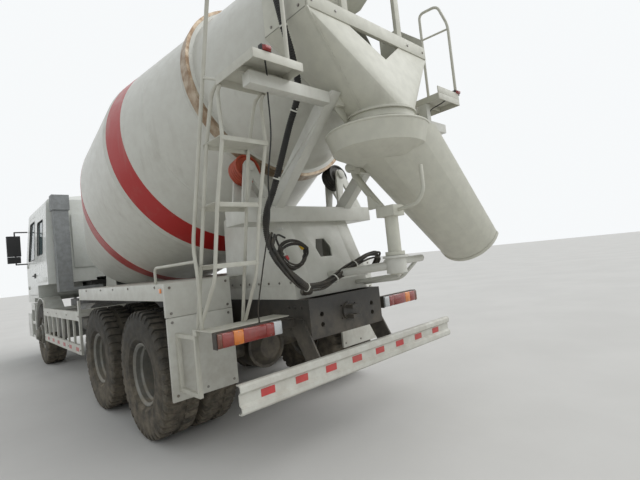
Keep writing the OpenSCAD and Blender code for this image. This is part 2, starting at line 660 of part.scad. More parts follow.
// Front bumper with lamp recesses, steps and wheel arches
arch_r = 650;
arch_t = 20;
module front_bumper() {
    color([0.9, 0.9, 0.89]) {
        difference() {
            block([x_nose - 420, x_nose], [-1170, 1170], [430, 900]);
            block([x_nose - 430, x_nose - 45], [-1125, 1125], [420, 910]);
            for (s = [-1, 1]) block([x_nose - 120, x_nose + 10], [s * 900 - 170, s * 900 + 170], [590, 770]);
            block([x_nose - 120, x_nose + 10], [-420, 420], [520, 800]);
        }
        both_sides() {
            difference() {
                translate([x_front, 870, tyre_r]) rotate([-90, 0, 0]) cylinder(h = 290, r = arch_r + arch_t, $fn = 96);
                translate([x_front, 860, tyre_r]) rotate([-90, 0, 0]) cylinder(h = 310, r = arch_r, $fn = 96);
                block([x_front - 800, x_front + 800], [800, 1200], [-300, tyre_r + 60]);
            }
            difference() {
                block([x_front + arch_r + 5, x_nose - 419], [870, 1160], [430, 1110]);
                for (z = [480, 760]) block([x_front + 700, x_nose - 450], [900, 1161], [z, z + 220]);
            }
            block([frame_x1 + seat_gap, x_nose - 44], [rail_y - 70, rail_y - 10], [rail_bottom + 10, rail_bottom + 80]);
        }
    }
}
// Head lamps in the bumper and rear lamps behind the mudguards
lamp_z = 870;
lamp_x1 = x_rear - 1215;
module lamps() {
    color([0.75, 0.1, 0.08]) {
        both_sides() block([x_nose - 60, x_nose - 8], [730 + seat_gap, 1070 - seat_gap], [590 + seat_gap, 770 - seat_gap]);
        both_sides() block([lamp_x1 - 75, lamp_x1], [620, 1150], [lamp_z, lamp_z + 110]);
    }
}

// Engine as one block, gearbox and propeller shafts
module engine_block() {
    color([0.2, 0.22, 0.22]) block([x_front - 500, x_front + 750], [-330, 330], [660, 1440]);
}
module driveline() {
    color([0.2, 0.2, 0.2]) {
        translate([x_front - 1100, 0, 850]) rotate([0, 90, 0]) cylinder(h = 600 - seat_gap, r1 = 150, r2 = 230);
        rod([x_front - 1100, 0, 850], [x_mid + 272, 0, tyre_r], 50);
        rod([x_mid - 227, 0, tyre_r], [x_rear + 272, 0, tyre_r], 50);
        for (x = [x_mid + 260 + seat_gap, x_mid - 235 - seat_gap, x_rear + 260 + seat_gap])
            translate([x, 0, tyre_r]) rotate([0, 90, 0]) cylinder(h = 20, r = 80);
    }
}
module fuel_tank() {
    color([0.75, 0.76, 0.77]) {
        block([x_front - 2050, x_front - 1050], [-1150, -540], [560, 1020]);
        for (x = [x_front - 1900, x_front - 1250]) block([x, x + 60], [-541, -rail_y - seat_gap], [680, 1040]);
    }
}
module air_tanks() {
    color([0.2, 0.2, 0.21]) {
        for (z = [760, 980]) translate([x_front - 2300, 780, z]) rotate([0, 90, 0]) cylinder(h = 760, r = 100);
        for (x = [x_front - 2200, x_front - 1700]) block([x, x + 40], [rail_y + seat_gap, 700], [700, 1040]);
        block([x_front - 1450, x_front - 850], [560, 1060], [560, 980]);
        block([x_front - 1250, x_front - 1050], [rail_y + seat_gap, 561], [820, 960]);
    }
}
module air_intake() {
    color([0.45, 0.46, 0.46]) {
        block([cab_x0 - 230, cab_x0 - 60], [820, 1040], [1300, 2760]);
        block([cab_x0 - 250, cab_x0 - 40], [800, 1060], [2700, 2960]);
        block([cab_x0 - 230, cab_x0 - 90], [rail_y - 20, 821], [1300, 1360]);
        block([cab_x0 - 230, cab_x0 - 90], [rail_y - 60, rail_y - 10], [frame_top + seat_gap, 1361]);
    }
}
// Side guards: two rails with uprights and slats
guard_x0 = x_rear + 2170;
guard_x1 = x_rear + 4700;
guard_y = 1220;
module side_guards() {
    color([0.93, 0.93, 0.91]) both_sides() {
        for (z = [500, 930]) block([guard_x0, guard_x1], [guard_y - 30, guard_y], [z, z + 120]);
        for (x = [guard_x0, guard_x1 - 50]) block([x, x + 50], [guard_y - 29, guard_y - 1], [500, 1190]);
        for (i = [1 : 6]) block([guard_x0 + 360 * i, guard_x0 + 360 * i + 40], [guard_y - 28, guard_y - 4], [510, 1040]);
        for (x = [guard_x0, guard_x0 + 720, guard_x1 - 50]) block([x, x + 50], [rail_y + seat_gap, guard_y - 5], [980, 1030]);
    }
}
// Rear mudguards: shelf over the wheels, side beam, rear plate and step
guard_top = 1335;
plate_x = x_rear - 640;
module mudguards() {
    color([0.93, 0.93, 0.91]) both_sides() {
        block([plate_x + 40, x_rear + 2080], [rail_y + 40, guard_y], [guard_top - 6, guard_top]);
        block([plate_x + 40, x_rear + 2080], [guard_y - 6, guard_y], [guard_top - 135, guard_top]);
        block([plate_x, plate_x + 41], [rail_y + 270, guard_y], [426, guard_top]);
        block([x_rear - 100, x_rear - 40], [rail_y - 79, rail_y + 41], [sub_top + seat_gap, guard_top - 1]);
        block([x_mid + 640, x_mid + 700], [rail_y - 79, rail_y + 41], [sub_top + seat_gap, guard_top - 1]);
    }
}

// Drum: local X runs forward along the axis from the rear end of the cylinder
module on_drum_axis() {
    translate([x_rear + drum_x, 0, drum_z]) rotate([0, drum_tilt, 0]) children();
}
mouth_slope = (drum_r - ring_cone_r) / ring_at;
mouth_at = ring_at + mouth_len;
mouth_r = drum_r - mouth_slope * mouth_at;
head_len = 120;
hub_flange_r = 300;
module drum() {
    color([0.86, 0.87, 0.85]) on_drum_axis() rotate([0, 90, 0]) {
        t = drum_wall;
        rotate_extrude($fn = 96) polygon([
            [mouth_r, -mouth_at], [drum_r, 0], [drum_r, drum_mid], [drum_front_r, drum_mid + cone_front],
            [hub_flange_r, drum_mid + cone_front + head_len], [0, drum_mid + cone_front + head_len],
            [0, drum_mid + cone_front + head_len - t], [hub_flange_r - t, drum_mid + cone_front + head_len - t],
            [drum_front_r - t - 4, drum_mid + cone_front - 2], [drum_r - t, drum_mid - 1], [drum_r - t, 1],
            [mouth_r - t, -mouth_at]]);
        translate([0, 0, -ring_at]) rotate_extrude($fn = 96) polygon([
            [ring_cone_r - 18, -ring_w / 2], [ring_seat_r, -ring_w / 2], [ring_seat_r, ring_w / 2 - 0],
            [ring_seat_r, ring_w / 2], [ring_cone_r + 4, ring_w / 2 + 1]]);
    }
}
ring_seat_r = ring_cone_r + 20;
module drum_ring() {
    color([0.36, 0.27, 0.21]) on_drum_axis() rotate([0, 90, 0]) translate([0, 0, -ring_at])
        rotate_extrude($fn = 96) translate([ring_seat_r + seat_gap, -ring_w / 2])
            square([ring_r - ring_seat_r - seat_gap, ring_w]);
}
roller_reach = ring_r + roller_r + seat_gap;
pin_r = 30;
module at_roller(side) {
    on_drum_axis() translate([-ring_at, side * roller_reach * sin(roller_angle), -roller_reach * cos(roller_angle)])
        rotate([0, 90, 0]) children();
}
module roller(side) {
    color([0.7, 0.2, 0.12]) at_roller(side) difference() {
        translate([0, 0, -roller_w / 2]) cylinder(h = roller_w, r = roller_r);
        translate([0, 0, -roller_w]) cylinder(h = 2 * roller_w, r = pin_r + run_gap);
    }
}
module roller_left() { roller(1); }
module roller_right() { roller(-1); }
// Gearbox that turns the drum, on the front pedestal
gear_at = drum_mid + cone_front + head_len;
module drum_gearbox() {
    color([0.3, 0.32, 0.33]) on_drum_axis() rotate([0, 90, 0]) translate([0, 0, gear_at + seat_gap]) {
        cylinder(h = 90, r = 250);
        translate([0, 0, 89]) cylinder(h = 260, r = 200);
        translate([0, 0, 348]) cylinder(h = 180, r = 110);
    }
}
gear_x = x_rear + drum_x + (gear_at + 200) * cos(drum_tilt);
gear_z = drum_z - (gear_at + 200) * sin(drum_tilt);
module front_pedestal() {
    color([0.93, 0.93, 0.91]) difference() {
        union() {
            both_sides() side_plate([[gear_x - 330, sub_top + seat_gap], [gear_x + 300, sub_top + seat_gap],
                [gear_x + 120, gear_z + 60], [gear_x - 110, gear_z + 60]], 330, 345);
            both_sides() block([gear_x - 330, gear_x + 300], [329, rail_y], [sub_top + seat_gap, sub_top + 20]);
            block([gear_x - 90, gear_x + 100], [-331, 331], [gear_z - 240, gear_z - 215]);
            cross_plate([[-331, gear_z - 216], [-331, gear_z + 60], [331, gear_z + 60], [331, gear_z - 216]], gear_x - 20, gear_x + 5);
        }
        on_drum_axis() rotate([0, 90, 0]) translate([0, 0, gear_at - 20]) cylinder(h = 700, r = 200 + seat_gap);
    }
}

// Rear pedestal: legs on the mixer frame, cross beam and roller forks, and the frame that leans back
leg_x0 = x_rear - 1240;
leg_x1 = x_rear - 640;
beam_top = 1960;
module rear_pedestal() {
    color([0.93, 0.93, 0.91]) {
        both_sides() {
            difference() {
                side_plate([[leg_x0, sub_top + seat_gap], [leg_x1, sub_top + seat_gap], [leg_x1 - 40, beam_top - 100],
                    [leg_x0 + 120, beam_top - 100]], rail_y - 150, rail_y);
                side_plate([[leg_x0 + 100, sub_top + 60], [leg_x1 - 90, sub_top + 60], [leg_x1 - 120, beam_top - 160],
                    [leg_x0 + 200, beam_top - 160]], rail_y - 160, rail_y - 10);
            }
            roller_fork();
            rod([x_rear - 1080, 440, beam_top - 60], [frame_top_x, 330, beam_z1 - 40], 45);
            difference() {
                block([frame_top_x - 40, frame_top_x + 40], [150, 1000], [beam_z1 - 80, beam_z1]);
                translate([pivot_x, 0, outlet_z]) cylinder(h = 300, r = outlet_r + plate_t + seat_gap);
            }
        }
        block([leg_x0 + 140, leg_x1 - 60], [-620, 620], [beam_top - 160, beam_top - 20]);
        block([frame_top_x - 40, frame_top_x + 40], [-1000, -540], [beam_z1 - 1, deck_right_z - deck_h - seat_gap]);
        // bearing of the chute's post on two beams
        difference() {
            union() {
                translate([pivot_x, 0, bearing_z0]) cylinder(h = bearing_z1 - bearing_z0, r = post_r + 25);
                both_sides() rod([leg_x0 + 40, rail_y - 75, sub_top + 60], [pivot_x + 40, 30, bearing_z0 + 60], 40);
            }
            translate([pivot_x, 0, post_z0 - 20]) cylinder(h = 300, r = post_r + run_gap);
        }
    }
}
frame_top_x = x_rear - 1800;
deck_z = 2600;
deck_h = 55;
deck_right_z = 2690;
beam_z1 = deck_z - deck_h - seat_gap;
module roller_fork() {
    at_roller(1) for (s = [-1, 1]) {
        z = s > 0 ? roller_w / 2 + 6 : -roller_w / 2 - 36;
        difference() {
            translate([-60, -60, z]) cube([330, 120, 30]);
            translate([0, 0, z - 1]) cylinder(h = 32, r = pin_r - 5);
        }
    }
    at_roller(1) translate([0, 0, -roller_w / 2 - 36]) cylinder(h = roller_w + 72, r = pin_r);
}
// Feed hopper over the mouth, its spout reaching into the drum, on two posts from the funnel's bar
hopper_top = 3960;
hopper_x0 = x_rear - 2080;
hopper_x1 = x_rear - 1400;
spout_x0 = x_rear - 1700;
spout_x1 = x_rear - 1425;
spout_z = 3440;
module hopper_space(w) {
    hull() {
        block([hopper_x0 - w, hopper_x1 + w], [-420 - w, 420 + w], [hopper_top - 40, hopper_top + (w > 0 ? 0 : 1)]);
        block([spout_x0 - w, spout_x1 + w], [-200 - w, 200 + w], [spout_z - (w > 0 ? 0 : 1), spout_z + 10]);
    }
}
module feed_hopper() {
    color([0.93, 0.93, 0.91]) {
        difference() {
            union() {
                hopper_space(plate_t);
                both_sides() block([pivot_x - 110, pivot_x - 80], [290, 350], [bar_z1 + seat_gap, hopper_top - 60]);
            }
            hopper_space(0);
        }
    }
}
// Discharge funnel: gathers from the mouth down to a round outlet over the chute
pivot_x = x_rear - chute_back;
collar_h = 160;
bar_z0 = 3050;
bar_z1 = 3150;
bar_half = 600;
funnel_x1 = x_rear - 1560;
module funnel_space(w) {
    hull() {
        translate([pivot_x, 0, outlet_z + collar_h - 2]) cylinder(h = 4, r = outlet_r + w, $fn = 32);
        block([pivot_x - 100 - w, funnel_x1 + w], [-bar_half - w, bar_half + w], [bar_z0, bar_z0 + 4]);
    }
}
module drum_sweep(clear) {
    on_drum_axis() rotate([0, 90, 0]) translate([0, 0, -mouth_at - clear])
        cylinder(h = 900, r1 = mouth_r + clear, r2 = mouth_r + clear + 900 * mouth_slope);
}
module discharge_funnel() {
    color([0.93, 0.93, 0.91]) {
        difference() {
            translate([pivot_x, 0, outlet_z]) cylinder(h = collar_h, r = outlet_r + plate_t);
            translate([pivot_x, 0, outlet_z - 1]) cylinder(h = collar_h + 2, r = outlet_r);
        }
        difference() {
            funnel_space(plate_t);
            translate([0, 0, -3]) funnel_space(0);
            translate([0, 0, 3]) funnel_space(0);
            drum_sweep(30);
        }
        block([pivot_x - 110, pivot_x - 80], [-bar_half - 10, bar_half + 10], [bar_z0, bar_z1]);
    }
}

// Chute, local X points along the trough, away from the pivot
module at_chute() { translate([pivot_x, 0, 0]) rotate(-90) children(); }
chute_axis_z = 2430;
chute_back_len = 500;
module chute_space(w) {
    intersection() {
        translate([0, 0, chute_axis_z]) rotate([0, chute_slope, 0]) intersection() {
            translate([-chute_back_len, 0, 0]) rotate([0, 90, 0])
                cylinder(h = chute_len + chute_back_len + (w > 0 ? 0 : 10), r1 = chute_r + w + 30, r2 = chute_tip_r + w, $fn = 96);
            translate([-chute_back_len, -600, -600])
                cube([chute_len + chute_back_len + (w > 0 ? 0 : 10), 1200, 600 + (w > 0 ? 0 : 1)]);
        }
        translate([-600, -600, 0]) cube([3000, 1200, chute_rim_z + (w > 0 ? 0 : 1)]);
        union() {
            translate([0, 0, 1500]) cylinder(h = 1000, r = bowl_r + w);
            translate([0, -600, 0]) cube([3000, 1200, 3000]);
        }
    }
}
tilt_u = 100;
tilt_z = 2140;
tilt_pin_r = 20;
lug_y = 312;
post_r = 50;
post_z0 = 1230;
post_z1 = 1740;
bearing_z0 = 1240;
bearing_z1 = 1370;
module chute() {
    color([0.88, 0.88, 0.86]) at_chute() {
        difference() {
            chute_space(plate_t);
            chute_space(0);
        }
        intersection() {
            translate([0, 0, chute_rim_z]) rotate_extrude($fn = 96) translate([bowl_r + plate_t / 2, 0]) circle(r = rim_tube);
            translate([-600, -600, 2000]) cube([601, 1200, 400]);
        }
        for (s = [-1, 1]) translate([tilt_u, s * lug_y, tilt_z]) rotate([-90 * s, 0, 0]) {
            translate([0, 0, -12]) cylinder(h = 36, r = 45);
            cylinder(h = fork_y - lug_y + pin_out, r = tilt_pin_r);
        }
    }
}
module chute_arm() {
    color([0.88, 0.88, 0.86]) at_chute() {
        translate([0, 0, post_z0]) cylinder(h = post_z1 - post_z0, r = post_r);
        translate([0, 0, bearing_z1 + seat_gap]) cylinder(h = 30, r = post_r + 22);
        translate([-70, -80, post_z1 - 70]) cube([150, 160, 70]);
        for (s = [-1, 1]) difference() {
            union() {
                bent_tube([[0, s * 50, post_z1 - 40], [60, s * fork_y, post_z1 + 190], [tilt_u, s * fork_y, tilt_z]], 18);
                translate([tilt_u, s * fork_y, tilt_z]) rotate([90, 0, 0]) cylinder(h = 40, r = 42, center = true);
            }
            translate([tilt_u, s * fork_y, tilt_z]) rotate([90, 0, 0])
                cylinder(h = 120, r = tilt_pin_r + run_gap, center = true);
        }
    }
}
// Platforms on both sides of the funnel, ladder and grab poles on the left
deck_x0 = x_rear - 2000;
deck_x1 = x_rear - 1580;
deck_y0 = 570;
deck_y1 = 1160;
// Tray of a deck, open below, its top at a height
module deck(z) {
    difference() {
        block([deck_x0, deck_x1], [deck_y0, deck_y1], [z - deck_h, z]);
        block([deck_x0 + 5, deck_x1 - 5], [deck_y0 + 5, deck_y1 - 5], [z - deck_h - 1, z - 5]);
    }
}
ladder_y = [600, 1030];
ladder_x0 = x_rear - 1180;
ladder_z0 = 1340;
module platforms() {
    color([0.93, 0.93, 0.91]) {
        deck(deck_z);
        mirror([0, 1, 0]) deck(deck_right_z);
        for (y = ladder_y) rod([ladder_x0, y, ladder_z0], [deck_x1 - 20, y, deck_z - 20], 20);
        for (k = [0.4, 0.78]) translate([ladder_x0 + k * (deck_x1 - 20 - ladder_x0), 0, ladder_z0 + k * (deck_z - 20 - ladder_z0)])
            block([-70, 60], [ladder_y[0] - 10, ladder_y[1] + 10], [-12, 12]);
        block([ladder_x0 - 15, ladder_x0 + 15], [rail_y + seat_gap, ladder_y[1]], [ladder_z0 + 30, ladder_z0 + 60]);
        // rail on the right
        bent_tube([[deck_x0 + 30, -deck_y1 + 30, deck_right_z - 5], [deck_x0 + 80, -deck_y1 + 30, deck_right_z + 800],
            [deck_x0 + 210, -deck_y1 + 30, deck_right_z + 900], [deck_x1 - 60, -deck_y1 + 30, deck_right_z + 800],
            [deck_x1 - 30, -deck_y1 + 30, deck_right_z - 5]], 15);
    }
}
tank_y = 900;
tank_z = 1600;
tank_r = 230;
module water_tank() {
    color([0.93, 0.93, 0.91]) {
        translate([x_front - 1850, -tank_y, tank_z]) rotate([0, 90, 0]) cylinder(h = 900, r = tank_r);
        for (x = [x_front - 1750, x_front - 1150]) {
            block([x, x + 80], [-tank_y - 30, -rail_y - seat_gap], [frame_top - 50, frame_top - 6]);
            block([x, x + 80], [-tank_y - 30, -tank_y + 30], [frame_top - 50, tank_z - tank_r + 4]);
            block([x, x + 80], [-tank_y - 110, -tank_y + 110], [tank_z - tank_r - 16, tank_z - tank_r + 30]);
        }
    }
}
module hoses() {
    color([0.06, 0.06, 0.06]) {
        bent_tube([[x_rear - 1310, 480, 1150], [x_rear - 1290, 500, 1500], [x_rear - 1330, 500, 1900], [x_rear - 1700, 500, 2430]], 25);
        block([x_rear - 1300, x_rear - 1130], [rail_y + seat_gap, 500], [1690, 1720]);
    }
}

chassis_frame();
subframe();
rear_bumper();
front_bumper();
cab_shell();
front_panel();
cab_glass();
door_left();
door_right();
door_glass_left();
door_glass_right();
cab_interior();
mirrors();
lamps();
front_axle();
knuckle_left();
knuckle_right();
rear_axles();
bogie_springs();
driveline();
engine_block();
tyre_front_left();
tyre_front_right();
tyres_mid_left();
tyres_mid_right();
tyres_rear_left();
tyres_rear_right();
rim_front_left();
rim_front_right();
rims_mid_left();
rims_mid_right();
rims_rear_left();
rims_rear_right();
fuel_tank();
air_tanks();
air_intake();
side_guards();
mudguards();
drum();
drum_ring();
roller_left();
roller_right();
drum_gearbox();
front_pedestal();
rear_pedestal();
feed_hopper();
discharge_funnel();
chute_arm();
chute();
platforms();
water_tank();
hoses();
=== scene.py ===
import random
from math import cos, pi, radians, sin

import bmesh
import bpy
from mathutils import Matrix, Vector


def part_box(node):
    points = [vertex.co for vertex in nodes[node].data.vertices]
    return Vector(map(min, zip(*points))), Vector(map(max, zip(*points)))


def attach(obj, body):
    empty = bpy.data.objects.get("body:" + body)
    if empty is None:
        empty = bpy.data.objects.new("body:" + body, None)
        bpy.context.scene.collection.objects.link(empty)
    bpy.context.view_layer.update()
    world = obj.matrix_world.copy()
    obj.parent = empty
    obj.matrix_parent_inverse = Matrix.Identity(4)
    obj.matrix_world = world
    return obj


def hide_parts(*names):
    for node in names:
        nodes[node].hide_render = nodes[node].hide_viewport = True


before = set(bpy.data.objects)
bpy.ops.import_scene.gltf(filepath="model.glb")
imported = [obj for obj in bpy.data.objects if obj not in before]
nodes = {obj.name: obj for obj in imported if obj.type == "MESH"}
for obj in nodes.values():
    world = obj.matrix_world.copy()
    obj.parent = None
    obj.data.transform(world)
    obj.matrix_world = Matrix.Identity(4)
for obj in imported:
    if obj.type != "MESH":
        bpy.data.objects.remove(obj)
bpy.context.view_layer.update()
scene = bpy.context.scene
axle = (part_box("tyres_rear_left")[0][0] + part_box("tyres_rear_left")[1][0]) / 2     # x of the last axle
print("frame loaded,", len(nodes), "nodes")


def shown(name, data):
    thing = bpy.data.objects.new(name, data)
    scene.collection.objects.link(thing)
    return thing


# Camera where the photograph was taken from
view = {
    "place": (axle - 3.772, 2.456, 1.402),
    "yaw": -42.99,      # degrees from +X, to the right
    "pitch": 2.64,
    "roll": -5.97,
    "focalPixels": 406.6,
    "pixelsWide": 640,
    "sensor": 36,
}


def aimCamera(spec):
    yaw, pitch, roll = (radians(spec[k]) for k in ("yaw", "pitch", "roll"))
    ahead = Vector((cos(yaw) * cos(pitch), sin(yaw) * cos(pitch), sin(pitch)))
    right = ahead.cross(Vector((0, 0, 1))).normalized()
    above = right.cross(ahead)
    tiltedRight = right * cos(roll) + above * sin(roll)
    tiltedAbove = above * cos(roll) - right * sin(roll)
    data = bpy.data.cameras.new("viewer")
    data.sensor_width = spec["sensor"]
    data.lens = spec["focalPixels"] / spec["pixelsWide"] * spec["sensor"]
    data.clip_end = 400
    viewer = shown("viewer", data)
    turn = Matrix((tiltedRight, tiltedAbove, -ahead)).transposed().to_4x4()
    viewer.matrix_world = Matrix.Translation(spec["place"]) @ turn
    scene.camera = viewer


aimCamera(view)


# Node tree helpers
def add(tree, kind, feeds=None, **settings):
    # feeds: what goes into the node's inputs, each a socket or a value
    made = tree.nodes.new(kind)
    for name, value in settings.items():
        setattr(made, name, value)
    for name, source in (feeds or {}).items():
        if isinstance(source, bpy.types.NodeSocket):
            tree.links.new(source, made.inputs[name])
        else:
            made.inputs[name].default_value = source
    return made


def calc(tree, operation, *values, clamp=False):
    made = add(tree, "ShaderNodeMath", dict(enumerate(values)), operation=operation, use_clamp=clamp)
    return made.outputs[0]


def vectorCalc(tree, operation, a, b):
    return add(tree, "ShaderNodeVectorMath", {0: a, 1: b}, operation=operation)


def remap(tree, value, low, high, toLow=0.0, toHigh=1.0):
    feeds = {"Value": value, "From Min": low, "From Max": high, "To Min": toLow, "To Max": toHigh}
    return add(tree, "ShaderNodeMapRange", feeds, interpolation_type="SMOOTHSTEP").outputs["Result"]


def blendColour(tree, amount, first, second):
    return add(tree, "ShaderNodeMix", {0: amount, 6: first, 7: second}, data_type="RGBA").outputs[2]


def noise(tree, where, scale, detail, rough):
    feeds = {"Vector": where, "Scale": scale, "Detail": detail, "Roughness": rough}
    return add(tree, "ShaderNodeTexNoise", feeds).outputs["Fac"]


def newGroup(name, inputs, **outputs):
    tree = bpy.data.node_groups.new(name, "ShaderNodeTree")
    for label, value in inputs.items():
        socket = tree.interface.new_socket(label, in_out="INPUT", socket_type="NodeSocketFloat")
        socket.default_value = value
    for label, kind in outputs.items():
        tree.interface.new_socket(label, in_out="OUTPUT", socket_type="NodeSocket" + kind)
    return tree, add(tree, "NodeGroupInput").outputs


def objectPlace(tree):
    return add(tree, "ShaderNodeTexCoord").outputs["Object"]


def surfaceNormal(tree):
    return add(tree, "ShaderNodeNewGeometry").outputs["Normal"]


def heightOf(tree, vector):
    return add(tree, "ShaderNodeSeparateXYZ", {0: vector}).outputs["Z"]


# Shader groups that several materials share
def makeRoadDust():
    # lies low on the truck and on faces that look up
    inputs = {"Amount": 0.5, "Full Below": 0.3, "None Above": 1.6, "Scale": 5.0}
    tree, given = newGroup("roadDust", inputs, Mask="Float")
    where = objectPlace(tree)
    low = remap(tree, heightOf(tree, where), given["None Above"], given["Full Below"])
    lying = remap(tree, heightOf(tree, surfaceNormal(tree)), 0.2, 1.0, 0.0, 0.55)
    spread = remap(tree, noise(tree, where, given["Scale"], 6.0, 0.65), 0.3, 0.72, 0.25, 1.25)
    total = calc(tree, "MULTIPLY", calc(tree, "ADD", low, lying), spread)
    add(tree, "NodeGroupOutput", {"Mask": calc(tree, "MULTIPLY", total, given["Amount"], clamp=True)})
    return tree


def makeWornEdge():
    inputs = {"Radius": 0.004, "Amount": 0.5, "Break Up": 30.0}
    tree, given = newGroup("wornEdge", inputs, Mask="Float", Normal="Vector")
    soft = add(tree, "ShaderNodeBevel", {"Radius": given["Radius"]}, samples=4).outputs[0]
    likeness = vectorCalc(tree, "DOT_PRODUCT", soft, surfaceNormal(tree)).outputs["Value"]
    turn = remap(tree, likeness, 0.995, 0.9)
    chips = remap(tree, noise(tree, objectPlace(tree), given["Break Up"], 5.0, 0.7), 0.45, 0.62)
    mask = calc(tree, "MULTIPLY", calc(tree, "MULTIPLY", turn, chips), given["Amount"], clamp=True)
    add(tree, "NodeGroupOutput", {"Mask": mask, "Normal": soft})
    return tree


def makeRunMarks():
    inputs = {"Amount": 0.4, "Width Scale": 9.0, "Length Scale": 0.7}
    tree, given = newGroup("runMarks", inputs, Mask="Float")
    feeds = {"X": given["Width Scale"], "Y": given["Width Scale"], "Z": given["Length Scale"]}
    stretch = add(tree, "ShaderNodeCombineXYZ", feeds).outputs[0]
    where = objectPlace(tree)
    scaled = vectorCalc(tree, "MULTIPLY", where, stretch).outputs[0]
    runs = remap(tree, noise(tree, scaled, 1.0, 5.0, 0.6), 0.5, 0.75)
    places = remap(tree, noise(tree, where, 1.3, 2.0, 0.5), 0.35, 0.65)
    mask = calc(tree, "MULTIPLY", calc(tree, "MULTIPLY", runs, places), given["Amount"], clamp=True)
    add(tree, "NodeGroupOutput", {"Mask": mask})
    return tree


def makeGrain():
    tree, given = newGroup("surfaceGrain", {"Coarse": 12.0, "Fine": 90.0}, Patches="Float", Grain="Float")
    where = objectPlace(tree)
    add(tree, "NodeGroupOutput", {"Patches": noise(tree, where, given["Coarse"], 4.0, 0.6),
                                  "Grain": noise(tree, where, given["Fine"], 3.0, 0.5)})
    return tree


groups = {"dust": makeRoadDust(), "edge": makeWornEdge(), "runs": makeRunMarks(), "grain": makeGrain()}
layerColours = {"dust": (0.30, 0.255, 0.19, 1), "runs": (0.33, 0.3, 0.25, 1)}


def useGroup(tree, name, *values):
    return add(tree, "ShaderNodeGroup", dict(enumerate(values)), node_tree=groups[name]).outputs


def linear(*colour):
    # 0-255 screen values to the values that Blender mixes
    shares = [c / 255 for c in colour]
    mixed = [((c + 0.055) / 1.055) ** 2.4 if c > 0.04 else c / 12.92 for c in shares]
    return (*(round(c, 4) for c in mixed), 1)


def newMaterial(name):
    material = bpy.data.materials.new(name)
    material.use_nodes = True
    material.node_tree.nodes.clear()
    return material, material.node_tree


def closeMaterial(tree, feeds):
    shader = add(tree, "ShaderNodeBsdfPrincipled", feeds)
    add(tree, "ShaderNodeOutputMaterial", {"Surface": shader.outputs[0]})


def finish(name, colour, second, roughness, *, dust, metallic=0.0, coat=0.0, wear=(0.004, 0.5, 30.0),
           worn=(0.16, 0.1, 0.07, 1), runs=0.0, bump=0.0008, over=None, relief=None):
    # dust and wear are in the order of their groups' inputs;
    # over(tree, colour) may draw something on the paint, relief(tree) may give a height in metres
    material, tree = newMaterial(name)
    texture = useGroup(tree, "grain", 12.0, 90.0)
    paint = blendColour(tree, remap(tree, texture["Patches"], 0.3, 0.7), linear(*colour), linear(*second))
    if over:
        paint = over(tree, paint)
    if runs:
        paint = blendColour(tree, useGroup(tree, "runs", runs)["Mask"], paint, layerColours["runs"])
    edge = useGroup(tree, "edge", *wear)
    paint = blendColour(tree, edge["Mask"], paint, worn)
    layer = useGroup(tree, "dust", *dust)["Mask"]
    paint = blendColour(tree, layer, paint, layerColours["dust"])
    gloss = remap(tree, texture["Patches"], 0.2, 0.8, roughness * 0.85, min(1.0, roughness * 1.2))
    gloss = calc(tree, "ADD", gloss, calc(tree, "MULTIPLY", layer, 0.35), clamp=True)
    height = calc(tree, "MULTIPLY", texture["Grain"], bump)
    if relief:
        height = calc(tree, "ADD", height, relief(tree))
    feeds = {"Distance": 1.0, "Strength": 1.0, "Height": height, "Normal": edge["Normal"]}
    dents = add(tree, "ShaderNodeBump", feeds)
    closeMaterial(tree, {"Base Color": paint, "Roughness": gloss, "Metallic": metallic, "Coat Weight": coat,
                         "Coat Roughness": 0.12, "Normal": dents.outputs[0]})
    return material


# Drum: two red bands round it, and the welds between its rolled plates, as places along its axis
drum = {
    "middle": (0.662, 0, 2.734),
    "tilt": 13.7,
    "bands": [(-0.322, -0.057), (1.031, 1.392)],
    "red": linear(172, 22, 20),
    "welds": [-1.25, -0.69, 0.003, 0.54, 1.05, 1.7, 2.35],
    "weld": (0.012, 0.0025),    # half width and height
}


def alongDrum(tree):
    x, y, z = drum["middle"]
    axis = (cos(radians(drum["tilt"])), 0, -sin(radians(drum["tilt"])))
    offset = vectorCalc(tree, "SUBTRACT", objectPlace(tree), (axle + x, y, z)).outputs[0]
    return vectorCalc(tree, "DOT_PRODUCT", offset, axis).outputs["Value"]


def drumBands(tree, paint):
    s = alongDrum(tree)
    for start, end in drum["bands"]:
        inside = calc(tree, "COMPARE", s, (start + end) / 2, (end - start) / 2)
        paint = blendColour(tree, inside, paint, drum["red"])
    return paint


def drumWelds(tree):
    s = alongDrum(tree)
    half, height = drum["weld"]
    total = None
    for place in drum["welds"]:
        distance = calc(tree, "ABSOLUTE", calc(tree, "SUBTRACT", s, place))
        bead = remap(tree, distance, half, 0.0, 0.0, height)
        total = bead if total is None else calc(tree, "ADD", total, bead)
    return total


